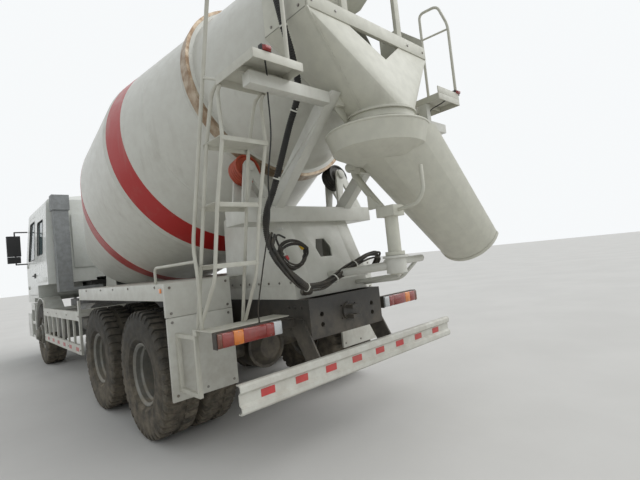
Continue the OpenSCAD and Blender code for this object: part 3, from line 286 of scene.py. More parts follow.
# Finishes: colour, second colour, roughness, then what differs from the usual paint
lens = {"bump": 0.0001, "dust": (0.25, 0.3, 1.6, 8.0), "wear": (0.002, 0.0, 40.0)}
cleanLens = {**lens, "dust": (0.2, 0.3, 1.6, 8.0)}
strip = {"dust": (0.2, 0.3, 1.6, 8.0), "wear": (0.001, 0.0, 40.0)}
finishes = {
    "body_white": finish("cabPaint", (222, 224, 219), (214, 216, 209), 0.28, coat=0.35, bump=0.0002,
                         dust=(0.35, 0.4, 2.0, 4.0), wear=(0.004, 0.25, 30.0), runs=0.15),
    "frame_white": finish("framePaint", (206, 206, 197), (200, 199, 190), 0.4, coat=0.1, bump=0.0004,
                          dust=(0.26, 0.35, 1.5, 6.0), wear=(0.004, 0.3, 26.0), runs=0.2),
    "drum_white": finish("drumPaint", (205, 205, 196), (200, 199, 190), 0.36, coat=0.15, bump=0.0005,
                         dust=(0.14, 0.6, 2.0, 3.0), wear=(0.004, 0.2, 24.0), runs=0.32,
                         over=drumBands, relief=drumWelds),
    "chute_white": finish("chutePaint", (201, 200, 186), (194, 193, 180), 0.42, bump=0.0005, runs=0.22,
                          dust=(0.14, 0.4, 1.8, 6.0), wear=(0.004, 0.35, 22.0)),
    "deck_white": finish("deckPaint", (200, 199, 187), (192, 190, 178), 0.45, runs=0.2,
                         dust=(0.18, 0.4, 1.6, 8.0), wear=(0.003, 0.4, 30.0)),
    "frame_black": finish("chassisPaint", (38, 38, 37), (50, 48, 45), 0.45, dust=(0.5, 0.4, 1.25, 7.0),
                          wear=(0.004, 0.35, 30.0), worn=(0.2, 0.17, 0.13, 1)),
    "tyre": finish("tyreRubber", (30, 30, 28), (40, 39, 35), 0.78, bump=0.0015, dust=(0.5, 0.1, 1.3, 9.0),
                   wear=(0.004, 0.6, 30.0), worn=(0.16, 0.14, 0.11, 1)),
    "rim": finish("rimPaint", (128, 130, 127), (112, 112, 106), 0.45, metallic=0.35,
                  dust=(0.45, 0.25, 1.2, 8.0), wear=(0.004, 0.5, 40.0)),
    "ring_steel": finish("ringSteel", (172, 158, 138), (132, 108, 84), 0.42, metallic=0.6, bump=0.0006,
                         dust=(0.0, 0.2, 1.0, 5.0), wear=(0.003, 0.5, 40.0)),
    "roller": finish("rollerRed", (178, 74, 44), (150, 60, 36), 0.5, runs=0.3, dust=(0.3, 0.3, 1.6, 9.0)),
    "rollerBlack": finish("rollerBlack", (52, 52, 51), (64, 62, 58), 0.5, metallic=0.3,
                          dust=(0.3, 0.3, 1.6, 9.0)),
    "black_plastic": finish("blackPlastic", (34, 34, 35), (42, 42, 42), 0.6, bump=0.0006,
                            dust=(0.4, 0.3, 1.6, 6.0), wear=(0.003, 0.2, 40.0), worn=(0.12, 0.12, 0.12, 1)),
    "trim_grey": finish("trimGrey", (96, 97, 98), (86, 87, 88), 0.7, bump=0.0004,
                        dust=(0.1, 0.3, 1.6, 6.0), wear=(0.003, 0.2, 40.0)),
    "lamp": finish("lampRed", (150, 18, 12), (130, 14, 10), 0.15, coat=0.6, **lens),
    "tank": finish("tankPaint", (196, 198, 196), (182, 184, 180), 0.35, metallic=0.3,
                   dust=(0.4, 0.4, 1.6, 6.0), runs=0.25),
    "gear_grey": finish("gearGrey", (104, 108, 110), (84, 86, 86), 0.5, metallic=0.2,
                        dust=(0.35, 0.4, 2.2, 7.0)),
    "intake_grey": finish("intakeGrey", (142, 145, 146), (128, 130, 130), 0.65, dust=(0.25, 0.4, 2.2, 7.0)),
    "rubber": finish("hoseRubber", (24, 24, 23), (32, 31, 29), 0.6,
                     dust=(0.25, 0.3, 2.4, 12.0), wear=(0.002, 0.0, 40.0)),
    "lampAmber": finish("lampAmber", (232, 130, 22), (216, 116, 16), 0.15, coat=0.6, **cleanLens),
    "lampClear": finish("lampClear", (216, 220, 220), (196, 200, 202), 0.12, coat=0.6, **cleanLens),
    "lampDark": finish("lampDark", (112, 44, 14), (90, 34, 12), 0.2, coat=0.5, **cleanLens),
    "reflectRed": finish("reflectiveRed", (196, 40, 46), (182, 34, 40), 0.3, coat=0.3, **lens),
    "bladeSteel": finish("bladeSteel", (150, 146, 134), (120, 112, 98), 0.6, metallic=0.2,
                         dust=(0.0, 0.3, 1.0, 5.0), runs=0.3),
    "tie": finish("cableTie", (216, 216, 208), (200, 200, 190), 0.5, bump=0.0001, **strip),
    "tapeYellow": finish("tapeYellow", (206, 168, 30), (190, 150, 24), 0.5, bump=0.0002, **strip),
    "bolt_steel": finish("boltSteel", (150, 150, 146), (116, 108, 98), 0.35, metallic=0.8,
                         dust=(0.3, 0.3, 1.4, 12.0), wear=(0.001, 0.0, 40.0)),
}


def makeGlass():
    material, tree = newMaterial("cabGlass")
    film = useGroup(tree, "grain", 6.0, 60.0)
    patches = remap(tree, film["Patches"], 0.3, 0.7)
    ripple = add(tree, "ShaderNodeBump", {"Distance": 0.0004, "Height": film["Grain"]})
    tint = blendColour(tree, patches, linear(150, 168, 170), linear(138, 156, 158))
    closeMaterial(tree, {"Base Color": tint, "Roughness": remap(tree, film["Patches"], 0.3, 0.8, 0.03, 0.09),
                         "Transmission Weight": 0.85, "IOR": 1.5, "Normal": ripple.outputs[0]})
    return material


finishes["glass"] = makeGlass()

whiteNodes = {
    "frame_white": ["rear_bumper", "side_guards", "mudguards", "rear_pedestal", "front_pedestal", "subframe",
                    "chute_arm"],
    "deck_white": ["platforms"],
    "chute_white": ["chute", "feed_hopper", "discharge_funnel"],
}


def dressFrame():
    chosen = {node: slot for slot, listed in whiteNodes.items() for node in listed}
    for name, thing in nodes.items():
        for holder in thing.material_slots:
            slot = holder.material.name.split(".")[0]
            holder.material = finishes[chosen.get(name, slot)]


dressFrame()
print("finishes made:", len(finishes))


# Mesh helpers
def turned(degrees, axis):
    return Matrix.Rotation(radians(degrees), 4, axis)


def moved(x, y, z):
    return Matrix.Translation((x, y, z))


def toSide(side):
    return Matrix.Diagonal((1, side, 1, 1))


def tidyNormals(thing):
    work = bmesh.new()
    work.from_mesh(thing.data)
    bmesh.ops.remove_doubles(work, verts=work.verts, dist=1e-6)
    bmesh.ops.recalc_face_normals(work, faces=work.faces)
    work.to_mesh(thing.data)
    work.free()
    return thing


def meshObject(name, verts, faces):
    data = bpy.data.meshes.new(name)
    data.from_pydata([tuple(v) for v in verts], [], faces)
    data.validate()
    return shown(name, data)


def joined(name, things):
    work = bmesh.new()
    materials = []
    for thing in things:
        start = len(work.faces)
        work.from_mesh(thing.data)
        work.faces.ensure_lookup_table()
        for face in work.faces[start:]:
            slot = thing.data.materials[face.material_index]
            if slot not in materials:
                materials.append(slot)
            face.material_index = materials.index(slot)
    data = bpy.data.meshes.new(name)
    work.to_mesh(data)
    work.free()
    for slot in materials:
        data.materials.append(slot)
    for thing in things:
        bpy.data.objects.remove(thing)
    return shown(name, data)


def placed(things, matrix):
    # mirroring turns faces inside out, so they are flipped back
    for thing in things:
        thing.data.transform(matrix)
        if matrix.determinant() < 0:
            thing.data.flip_normals()
    return things


def movedCopy(source, matrix):
    return placed([shown(source.name, source.data.copy())], matrix)[0]


def mirrored(things):
    return things + [movedCopy(thing, toSide(-1)) for thing in things]


def settled(thing):
    # what the modifiers make of an object, as its plain mesh
    bpy.context.view_layer.update()
    data = bpy.data.meshes.new_from_object(thing.evaluated_get(bpy.context.evaluated_depsgraph_get()))
    thing.modifiers.clear()
    thing.data = data
    return thing


def handIn(thing, body, replaced=None):
    if replaced:
        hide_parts(replaced)
    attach(thing, body)


def painted(things, paint):
    for thing in things:
        thing.data.materials.append(finishes[paint])
    return things


# Forms in metres from the middle of the last axle: x ahead, y left, z up from the floor
def prism(outline, axis, low, high):
    # outline: points across the axis, in the order of the two other axes
    spots = []
    for level in (low, high):
        for a, b in outline:
            spots.append({"X": (level, a, b), "Y": (a, level, b), "Z": (a, b, level)}[axis])
    count = len(outline)
    faces = [tuple(range(count)), tuple(range(2 * count - 1, count - 1, -1))]
    faces += [(i, (i + 1) % count, count + (i + 1) % count, count + i) for i in range(count)]
    return tidyNormals(meshObject("prism", spots, faces))


def brick(x, y, z):
    return prism([(y[0], z[0]), (y[1], z[0]), (y[1], z[1]), (y[0], z[1])], "X", *x)


def cornered(a, b, cut, rise=None):
    # outline of a rectangle with its corners cut off
    (a0, a1), (b0, b1), rise = a, b, rise or cut
    return [(a0 + cut, b0), (a1 - cut, b0), (a1, b0 + rise), (a1, b1 - rise), (a1 - cut, b1), (a0 + cut, b1),
            (a0, b1 - rise), (a0, b0 + rise)]


def lathe(profile, where, segments=48, loop=False):
    # profile: radius and height; a radius of 0 at an end closes the pole, loop closes a ring
    verts, faces = [], []
    count = len(profile)
    for i in range(segments):
        angle = 2 * pi * i / segments
        verts += [where @ Vector((r * cos(angle), r * sin(angle), h)) for r, h in profile]
        j = (i + 1) % segments
        for k in range(count if loop else count - 1):
            m = (k + 1) % count
            faces.append((i * count + k, i * count + m, j * count + m, j * count + k))
    return tidyNormals(meshObject("lathe", verts, faces))


def between(a, b):
    a, b = Vector(a), Vector(b)
    return Matrix.Translation(a) @ (b - a).to_track_quat("Z", "Y").to_matrix().to_4x4()


def pin(a, b, radius, segments=24, chamfer=0.002):
    length = (Vector(b) - Vector(a)).length
    return lathe([(0, 0), (radius - chamfer, 0), (radius, chamfer), (radius, length - chamfer),
                  (radius - chamfer, length), (0, length)], between(a, b), segments)


def hoop(inner, outer, low, high, where, segments):
    return lathe([(inner, low), (outer, low), (outer, high), (inner, high)], where, segments, loop=True)


def sleeve(a, b, inner, outer, segments=32):
    return hoop(inner, outer, 0, (Vector(b) - Vector(a)).length, between(a, b), segments)


def wrapped(points):
    work = bmesh.new()
    for spot in points:
        work.verts.new(spot)
    bmesh.ops.convex_hull(work, input=work.verts)
    bmesh.ops.delete(work, geom=[v for v in work.verts if not v.link_faces], context="VERTS")
    data = bpy.data.meshes.new("wrapped")
    work.to_mesh(data)
    work.free()
    return tidyNormals(shown("wrapped", data))


def cropped(thing, spot, beyond):
    # takes away what lies beyond a plane, and closes the cut
    work = bmesh.new()
    work.from_mesh(thing.data)
    bmesh.ops.bisect_plane(work, geom=work.verts[:] + work.edges[:] + work.faces[:], plane_co=spot,
                           plane_no=beyond, clear_outer=True)
    bmesh.ops.holes_fill(work, edges=[e for e in work.edges if e.is_boundary], sides=0)
    bmesh.ops.recalc_face_normals(work, faces=work.faces)
    work.to_mesh(thing.data)
    work.free()
    return thing


def combined(base, others, operation="DIFFERENCE"):
    for other in others:
        step = base.modifiers.new("combine", "BOOLEAN")
        step.operation = operation
        step.solver = "EXACT"
        step.object = other
    settled(base)
    for other in others:
        bpy.data.objects.remove(other)
    return base


def bends(points, radius, steps=6):
    points = [Vector(p) for p in points]
    path = [points[0]]
    for before, corner, after in zip(points, points[1:], points[2:]):
        a, b = before - corner, after - corner
        reach = min(radius, a.length * 0.45, b.length * 0.45)
        start, end = corner + a.normalized() * reach, corner + b.normalized() * reach
        for k in range(steps + 1):
            t = k / steps
            path.append(start * (1 - t) ** 2 + corner * 2 * t * (1 - t) + end * t ** 2)
    return path + [points[-1]]


def smoothPath(points, each):
    # rounds a run of points into a curve that passes through them
    points = [Vector(p) for p in points]
    ends = [points[0] * 2 - points[1]] + points + [points[-1] * 2 - points[-2]]
    path = []
    for i in range(1, len(ends) - 2):
        a, b, c, d = ends[i - 1:i + 3]
        for k in range(each):
            t = k / each
            path.append(0.5 * ((2 * b) + (c - a) * t + (2 * a - 5 * b + 4 * c - d) * t * t
                               + (3 * b - a - 3 * c + d) * t ** 3))
    return path + [points[-1]]


def evenly(path, step):
    spots, left = [path[0]], step
    for a, b in zip(path, path[1:]):
        length, done = (b - a).length, 0.0
        while length - done >= left:
            done += left
            spots.append(a.lerp(b, done / length))
            left = step
        left -= length - done
    return spots + [path[-1]] if (spots[-1] - path[-1]).length > step * 0.3 else spots[:-1] + [path[-1]]


def laid(points, step, each=10):
    return evenly(smoothPath(points, each), step)


def swept(path, radius, sides, ribs=0.0):
    # a tube along a path, closed at both ends; ribs raise every second ring of a hose
    path = [Vector(p) for p in path]
    side = (path[1] - path[0]).orthogonal().normalized()
    verts, faces = [], []
    for i, spot in enumerate(path):
        ahead = (path[min(i + 1, len(path) - 1)] - path[max(i - 1, 0)]).normalized()
        side = (side - ahead * side.dot(ahead)).normalized()
        other = ahead.cross(side)
        r = radius + ribs * (i % 2)
        for k in range(sides):
            angle = 2 * pi * k / sides
            verts.append(spot + (side * cos(angle) + other * sin(angle)) * r)
    for i in range(len(path) - 1):
        for k in range(sides):
            m = (k + 1) % sides
            faces.append((i * sides + k, i * sides + m, (i + 1) * sides + m, (i + 1) * sides + k))
    last = (len(path) - 1) * sides
    faces += [tuple(range(sides - 1, -1, -1)), tuple(last + k for k in range(sides))]
    return tidyNormals(meshObject("swept", verts, faces))


def bentTube(points, radius, bend=0.06, sides=16):
    return swept(bends(points, bend), radius, sides)


def piece(name, things, slot, body="root", paint=None, replaced=None, edge=0.002):
    # joins what is painted already with the rest, softens its edges and puts it on its body
    painted([thing for thing in things if not thing.data.materials], paint or slot)
    whole = placed([joined(name, things)], moved(axle, 0, 0))[0]
    if edge:
        soft = whole.modifiers.new("edge", "BEVEL")
        soft.width, soft.segments, soft.limit_method = edge, 2, "ANGLE"
        soft.angle_limit = radians(50)
        settled(whole)
    whole.data.polygons.foreach_set("use_smooth", [True] * len(whole.data.polygons))
    whole.data.set_sharp_from_angle(angle=radians(38))
    handIn(whole, body, replaced)


# Geometry Nodes helpers
def newTree(name, inputs):
    tree = bpy.data.node_groups.new(name, "GeometryNodeTree")
    sockets = {"Geometry": ("Geometry", None), **inputs, "Material": ("Material", None)}
    for label, (kind, value) in sockets.items():
        socket = tree.interface.new_socket(label, in_out="INPUT", socket_type="NodeSocket" + kind)
        if value is not None:
            socket.default_value = value
    tree.interface.new_socket("Geometry", in_out="OUTPUT", socket_type="NodeSocketGeometry")
    return tree, add(tree, "NodeGroupInput").outputs


def closeTree(tree, given, feeds):
    copies = add(tree, "GeometryNodeInstanceOnPoints", feeds)
    real = add(tree, "GeometryNodeRealizeInstances", {0: copies.outputs[0]})
    coat = add(tree, "GeometryNodeSetMaterial", {"Geometry": real.outputs[0], "Material": given["Material"]})
    add(tree, "NodeGroupOutput", {0: coat.outputs[0]})
    return tree


def grow(name, source, tree, values):
    # runs the tree on an object and keeps the result as a plain mesh
    modifier = source.modifiers.new("build", "NODES")
    modifier.node_group = tree
    ids = {item.name: item.identifier for item in tree.interface.items_tree
           if item.item_type == "SOCKET" and item.in_out == "INPUT"}
    for label, value in values.items():
        modifier[ids[label]] = value
    source.update_tag()
    source.name = name
    return settled(source)


def makeRingTree():
    # copies of the mesh that carries the tree, set round the Y axis
    tree, given = newTree("ringOfPieces", {"Count": ("Int", 12), "Half Step": ("Bool", False)})
    points = add(tree, "GeometryNodePoints", {"Count": given["Count"]})
    index = add(tree, "GeometryNodeInputIndex").outputs[0]
    place = calc(tree, "ADD", index, calc(tree, "MULTIPLY", given["Half Step"], 0.5))
    angle = calc(tree, "MULTIPLY", place, calc(tree, "DIVIDE", 2 * pi, given["Count"]))
    turn = add(tree, "ShaderNodeCombineXYZ", {"Y": angle})
    return closeTree(tree, given, {"Points": points.outputs[0], "Instance": given["Geometry"],
                                   "Rotation": turn.outputs[0]})


def makeBoltTree():
    # a hexagon head on a round washer at every point, turned to the point's facing
    tree, given = newTree("boltHeads", {"Radius": ("Float", 0.012), "Height": ("Float", 0.01)})
    radius, height = given["Radius"], given["Height"]
    wide, flat = calc(tree, "MULTIPLY", radius, 1.25), calc(tree, "MULTIPLY", height, 0.3)
    washer = add(tree, "GeometryNodeMeshCylinder", {"Vertices": 16, "Radius": wide, "Depth": flat})
    head = add(tree, "GeometryNodeMeshCylinder", {"Vertices": 6, "Radius": radius, "Depth": height})
    lift = add(tree, "ShaderNodeCombineXYZ", {"Z": calc(tree, "MULTIPLY", height, 0.5)})
    feeds = {"Geometry": head.outputs["Mesh"], "Translation": lift.outputs[0]}
    raised = add(tree, "GeometryNodeTransform", feeds)
    both = add(tree, "GeometryNodeJoinGeometry", {0: washer.outputs["Mesh"]})
    tree.links.new(raised.outputs[0], both.inputs[0])
    facing = add(tree, "GeometryNodeInputNamedAttribute", data_type="FLOAT_VECTOR")
    facing.inputs["Name"].default_value = "facing"
    turn = add(tree, "FunctionNodeAlignRotationToVector", {"Vector": facing.outputs[0]}, axis="Z")
    dots = add(tree, "GeometryNodeMeshToPoints", {"Mesh": given["Geometry"]})
    return closeTree(tree, given, {"Points": dots.outputs[0], "Instance": both.outputs[0],
                                   "Rotation": turn.outputs[0]})


ringTree, boltTree = makeRingTree(), makeBoltTree()


def boltsAt(name, body, places, radius, height, paint):
    # places: (x, y, z, facing x, facing y, facing z)
    dots = meshObject(name + "Dots", [p[:3] for p in places], [])
    facing = dots.data.attributes.new("facing", "FLOAT_VECTOR", "POINT")
    facing.data.foreach_set("vector", [c for p in places for c in p[3:6]])
    bolts = grow(name, dots, boltTree, {"Radius": radius, "Height": height, "Material": finishes[paint]})
    handIn(bolts, body)


# Tyres: carcass with buttressed shoulders, and lugs round the tread
tyreForm = {
    "radius": 0.555,
    "tread": 0.018,      # depth between the lugs
    "seat": 0.2545,
    "pitches": 40,
    "lugWidth": 0.052,
    "segments": 120,
}


def makeLug(spec):
    # one lug of the outer row: runs from the shoulder to the middle, slanted round the tread
    base, tip, w = spec["radius"] - spec["tread"], spec["radius"] - 0.0003, spec["lugWidth"] / 2
    outline = [(0.1485, 0.487), (0.1475, 0.513), (0.1415, 0.537), (0.132, tip - 0.004), (0.118, tip - 0.001),
               (0.07, tip), (0.026, tip)]
    verts, faces = [], []
    for y, height in outline:
        slant = 0.10 * (0.14 - y)
        raised = height > base
        for across in (-1, 1):
            verts.append((height, y, slant + across * w * (0.8 if raised else 0.95)))
            low = min(height - 0.004, base - 0.003) if raised else height - 0.012
            verts.append((low, min(y, 0.139) if raised else y - 0.008, slant + across * w))
    for a in range(0, 4 * len(outline) - 4, 4):
        b = a + 4
        faces += [(a, b, b + 2, a + 2), (a, a + 1, b + 1, b), (a + 2, b + 2, b + 3, a + 3)]
    last = len(verts) - 4
    faces += [(0, 2, 3, 1), (last, last + 1, last + 3, last + 2)]
    return tidyNormals(meshObject("lug", verts, faces))


def makeTyre(spec):
    base = spec["radius"] - spec["tread"]
    side = [(spec["seat"], 0.101), (0.272, 0.109), (0.29, 0.122), (0.304, 0.1424), (0.312, 0.1475),
            (0.316, 0.1455), (0.34, 0.149), (0.352, 0.1525), (0.358, 0.1505), (0.395, 0.1545),
            (0.402, 0.1548), (0.43, 0.1546), (0.462, 0.153), (0.468, 0.1505), (0.49, 0.147),
            (0.515, 0.1405), (base, 0.124), (base + 0.001, 0.06), (base + 0.001, 0.0)]
    section = side + [(r, -y) for r, y in reversed(side[:-1])]
    carcass = lathe(section, turned(90, "X"), spec["segments"], loop=True)
    carcass.data.shade_smooth()
    rows = []
    for half, lug in zip((False, True), mirrored([makeLug(spec)])):
        values = {"Count": spec["pitches"], "Half Step": half, "Material": finishes["tyre"]}
        rows.append(grow("lugRow", lug, ringTree, values))
    return joined("tyreForm", painted([carcass], "tyre") + rows)


wheelPlaces = {
    "front_left": (axle + 5.375, [1.011], "tyre_front_left"),
    "front_right": (axle + 5.375, [-1.011], "tyre_front_right"),
    "mid_left": (axle + 1.35, [0.74, 1.09], "tyres_mid_left"),
    "mid_right": (axle + 1.35, [-0.74, -1.09], "tyres_mid_right"),
    "rear_left": (axle, [0.74, 1.09], "tyres_rear_left"),
    "rear_right": (axle, [-0.74, -1.09], "tyres_rear_right"),
}


def placeTyres():
    form = makeTyre(tyreForm)
    for name, (x, row, node) in wheelPlaces.items():
        copies = []
        for index, y in enumerate(row):
            turn = Matrix.Rotation(0.4 * index + 0.13 * x, 4, "Y")      # no two tyres stand alike
            flip = toSide(1 if y > 0 else -1)
            copies.append(movedCopy(form, moved(x, y, tyreForm["radius"]) @ flip @ turn))
        handIn(joined("tyre_" + name, copies), "wheel_" + name, node)
    bpy.data.objects.remove(form)


placeTyres()
print("tyres placed")

# Wheel nuts on the discs
nuts = {"count": 10, "circle": 0.131, "radius": 0.0135, "height": 0.022, "single": 1.186, "twin": 0.927}


def placeNuts():
    for name, (x, row, _) in wheelPlaces.items():
        side = 1 if row[0] > 0 else -1
        y = side * nuts["single" if len(row) == 1 else "twin"]
        turns = [2 * pi * i / nuts["count"] for i in range(nuts["count"])]
        places = [(x + nuts["circle"] * cos(a), y, tyreForm["radius"] + nuts["circle"] * sin(a), 0, side, 0)
                  for a in turns]
        boltsAt("nuts_" + name, "wheel_" + name, places, nuts["radius"], nuts["height"], "bolt_steel")


placeNuts()

# Mixer gear behind the drum
rig = {
    "rail": 0.425, "subTop": 1.21,
    "pivot": -1.935,                # post of the chute
    "legBack": -1.285, "legFront": -0.2, "rake": 0.265, "sideTop": 1.87,
    "beam": (-1.13, -0.8), "beamHalf": 0.725,
    "lean": (0.36, 0.45), "leanWidth": 0.15, "top": -1.825, "topZ": 2.5447,
}
decks = {"x": (-2.0, -1.58), "y": (0.795, 1.16), "left": 2.6, "right": 2.75, "height": 0.055, "sheet": 0.005}
drumMatrix = moved(*drum["middle"]) @ turned(drum["tilt"], "Y")
roller = {"along": -1.366, "reach": 1.0243, "angle": 32, "radius": 0.12, "width": 0.13, "pin": 0.03,
          "plate": 0.02, "gap": 0.006}


def rollerMatrix(side):
    out, angle = roller["reach"], radians(roller["angle"])
    return drumMatrix @ moved(roller["along"], side * out * sin(angle), -out * cos(angle)) @ turned(90, "Y")


def makeRollerBracket():
    half, thick, gap = roller["width"] / 2, roller["plate"], roller["gap"]
    outline = [(-0.05, -0.03), (-0.05, 0.03), (-0.02, 0.055), (0.4, 0.175), (0.4, -0.175), (-0.02, -0.055)]
    window = [(0.11, 0), (0.29, 0.075), (0.29, -0.075)]
    parts, reach = [], half + 0.03
    for low in (half + gap, -half - gap - thick):
        opening = prism(window, "Z", low - 0.01, low + thick + 0.01)
        parts.append(combined(prism(outline, "Z", low, low + thick), [opening]))
    parts.append(pin((0, 0, -reach), (0, 0, reach), roller["pin"]))
    cap = [(0, reach), (0.045, reach), (0.045, reach + 0.012), (0.02, reach + 0.02), (0, reach + 0.02)]
    parts += [lathe(cap, turned(angle, "X")) for angle in (180, 0)]
    return placed(parts, rollerMatrix(1))


def makePedestal():
    s = rig
    wall, back, front, high = s["rail"], s["legBack"], s["legFront"], s["sideTop"]
    top, topZ, wide = s["top"], s["topZ"], s["leanWidth"]
    low, up, foot = s["subTop"], back + s["rake"], s["beam"][0] + 0.005
    side = prism([(back, low), (front, low), (front - 0.05, high), (up, high)], "Y", wall - 0.15, wall)
    hollow = prism([(back + 0.07, low + 0.04), (front - 0.05, low + 0.04), (front - 0.09, high - 0.05),
                    (up + 0.05, high - 0.05)], "Y", wall - 0.2, wall - 0.01)
    lean = prism([(foot, high - 0.02), (foot + wide, high - 0.02), (top + wide / 2, topZ),
                  (top - wide / 2, topZ)], "Y", *s["lean"])
    # pressed hollow down the outer face of the leg, and the ribs of the side
    inset = prism([(foot - 0.02, high + 0.08), (foot + wide - 0.075, high + 0.08),
                   (top + wide / 2 - 0.02, topZ - 0.12), (top - wide / 2 + 0.035, topZ - 0.12)],
                  "Y", s["lean"][1] - 0.006, s["lean"][1] + 0.02)
    ribs = [brick((x, x + 0.012), (wall - 0.14, wall - 0.005), (low + 0.02, high - 0.03))
            for x in (-0.86, -0.52)]
    sides = mirrored([combined(side, [hollow]), combined(lean, [inset]), *ribs, *makeRollerBracket(),
                      brick((top - 0.04, top + 0.04), (s["lean"][1] - 0.001, 1.1), (topZ - 0.08, topZ)),
                      bentTube([(back + 0.05, 0.045, low + 0.045), (s["pivot"] + 0.04, 0.03, 1.3)], 0.032)])
    sheet = prism([(back, low), (back + 0.014, low), (up + 0.014, high), (up, high)], "Y",
                  0.149 - wall, wall - 0.149)
    hole = prism([(-0.07, 1.42), (0.07, 1.42), (0.09, 1.5), (0.05, 1.58), (-0.05, 1.58), (-0.09, 1.5)],
                 "X", back - 0.1, back + 0.3)
    beam = brick(s["beam"], (-s["beamHalf"], s["beamHalf"]), (high - 0.13, high))
    post = brick((top - 0.04, top + 0.04), (-0.855, -0.795), (topZ - 0.001, decks["right"] - decks["height"]))
    bearing = [sleeve((s["pivot"], 0, z), (s["pivot"], 0, 1.37), 0.0505, r)
               for z, r in ((1.24, 0.075), (1.352, 0.095))]
    parts = sides + [combined(sheet, [hole]), beam, post] + bearing
    piece("pedestal", parts, "body_white", paint="frame_white", replaced="rear_pedestal", edge=0.003)


makePedestal()


def makeRollers():
    half, r = roller["width"] / 2, roller["radius"]
    cheek = [(0.0305, -half), (0.07, -half), (0.07, 0.012 - half), (r - 0.018, 0.012 - half),
             (r - 0.016, -half), (r - 0.003, -half), (r, 0.003 - half)]
    rim = list(cheek)
    for middle in (-0.039, -0.013, 0.013, 0.039):       # four grooves
        rim += [(r, middle - 0.004), (r - 0.005, middle - 0.002), (r - 0.005, middle + 0.002),
                (r, middle + 0.004)]
    rim += [(radius, -place) for radius, place in reversed(cheek)]
    for side, name, paint in ((1, "left", "roller"), (-1, "right", "rollerBlack")):
        wheel = lathe(rim, rollerMatrix(side), 72, loop=True)
        piece("roller_wheel_" + name, [wheel], "roller", "roller_" + name, paint, "roller_" + name, 0)


makeRollers()

hopper = {"x": (-2.08, -1.4), "half": 0.42, "top": 3.96, "spout": (-1.7, -1.425), "spoutHalf": 0.2,
          "foot": 3.44, "sheet": 0.006, "rim": (3.925, 3.958), "stub": (-1.7, 3.7)}


def hopperSpace(wide, lift):
    h = hopper
    rows = ((h["x"], h["half"], (h["top"] - 0.04, h["top"] + lift)),
            (h["spout"], h["spoutHalf"], (h["foot"] - lift, h["foot"] + 0.01)))
    return [(x, y, z) for (x0, x1), half, heights in rows for x in (x0 - wide, x1 + wide)
            for y in (-half - wide, half + wide) for z in heights]


def makeHopper():
    x, z = hopper["stub"]
    back, ahead = hopper["x"]
    outer, inner = hopper["half"] + 0.03, hopper["half"] + 0.006
    parts = [combined(wrapped(hopperSpace(hopper["sheet"], 0)), [wrapped(hopperSpace(0, 0.01))])]
    for x0, x1 in ((back - 0.032, back - 0.006), (ahead + 0.006, ahead + 0.03)):
        parts.append(brick((x0, x1), (-outer, outer), hopper["rim"]))
    parts += mirrored([brick((back - 0.006, ahead + 0.006), (inner, outer), hopper["rim"]),
                       brick((-1.98, -1.95), (0.29, 0.35), (3.12, 3.9)),
                       prism([(-1.98, 3.6), (-1.9, 3.75), (-1.9, 3.9), (-1.98, 3.9)], "Y", 0.34, 0.346)])
    parts += [sleeve((x, start, z), (x, end, z), 0.022, outside)
              for start, end, outside in ((0.24, 0.455, 0.03), (0.44, 0.462, 0.04))]
    piece("hopper", parts, "chute_white", replaced="feed_hopper")


makeHopper()

# Funnel round the mouth, and its round outlet above the chute's bowl
funnel = {"radius": 0.25, "outlet": 2.418, "x": (-1.965, -1.52), "half": 0.68, "top": 3.02, "sheet": 0.006,
          "mouth": 2.246, "mouthRadius": 0.6687, "collar": 2.27}


def funnelSpace(wide, lift):
    f = funnel
    turns = [2 * pi * k / 48 for k in range(48)]
    r, half, (back, ahead) = f["radius"] + wide, f["half"] + wide, f["x"]
    ring = [(rig["pivot"] + r * cos(a), r * sin(a), f["outlet"] + z) for a in turns for z in (0, 0.004)]
    slab = [(x, y, f["top"] + z) for x in (back - wide, ahead + wide) for y in (-half, half)
            for z in (0, 0.004)]
    return [(x, y, z + lift) for x, y, z in ring + slab]


def makeFunnel():
    f, p, top, topZ = funnel, rig["pivot"], rig["top"], rig["topZ"]
    r, sheet, low, half, high = (f[k] for k in ("radius", "sheet", "collar", "half", "top"))
    back, ahead = f["x"]
    parts = [sleeve((p, 0, low), (p, 0, 2.425), r, r + sheet, 64)]
    parts += [sleeve((p, 0, low + z), (p, 0, low + z + 0.012), r, r + 0.02, 64) for z in (0.07, 0.125)]
    sweep = lathe([(0, 0), (f["mouthRadius"], 0), (f["mouthRadius"] + 0.228, 0.9), (0, 0.9)],
                  drumMatrix @ turned(90, "Y") @ moved(0, 0, -f["mouth"]), 72)
    notch = prism([(-0.31, 3.03), (0, 2.81), (0.31, 3.03)], "X", p - 0.3, p + 0.06)
    spaces = [wrapped(funnelSpace(0, lift)) for lift in (0.003, -0.003)]
    parts.append(combined(wrapped(funnelSpace(sheet, 0)), [*spaces, movedCopy(sweep, Matrix()), notch]))
    cheek = prism([(back, high), (ahead, high), (ahead, 3.42), (-1.715, 3.42), (back, 3.2)], "Y",
                  half, half + sheet)
    parts += mirrored([combined(cheek, [sweep]),
                       brick((top - 0.035, top + 0.035), (0.235, 0.36), (topZ - 0.075, topZ - 0.01)),
                       prism([(0.36, topZ - 0.074), (0.36, topZ - 0.1), (0.25, topZ - 0.2),
                              (0.25, topZ - 0.074)], "X", top - 0.004, top + 0.004),
                       # folded flange along the slanting back edge
                       prism([(0.672, 3.02), (0.69, 3.02), (0.262, 2.43), (0.244, 2.43)], "X",
                             p - 0.045, p - 0.025)])
    parts.append(brick((-1.98, -1.95), (-half, half), (high, 3.12)))
    piece("funnel", parts, "chute_white", replaced="discharge_funnel")


makeFunnel()

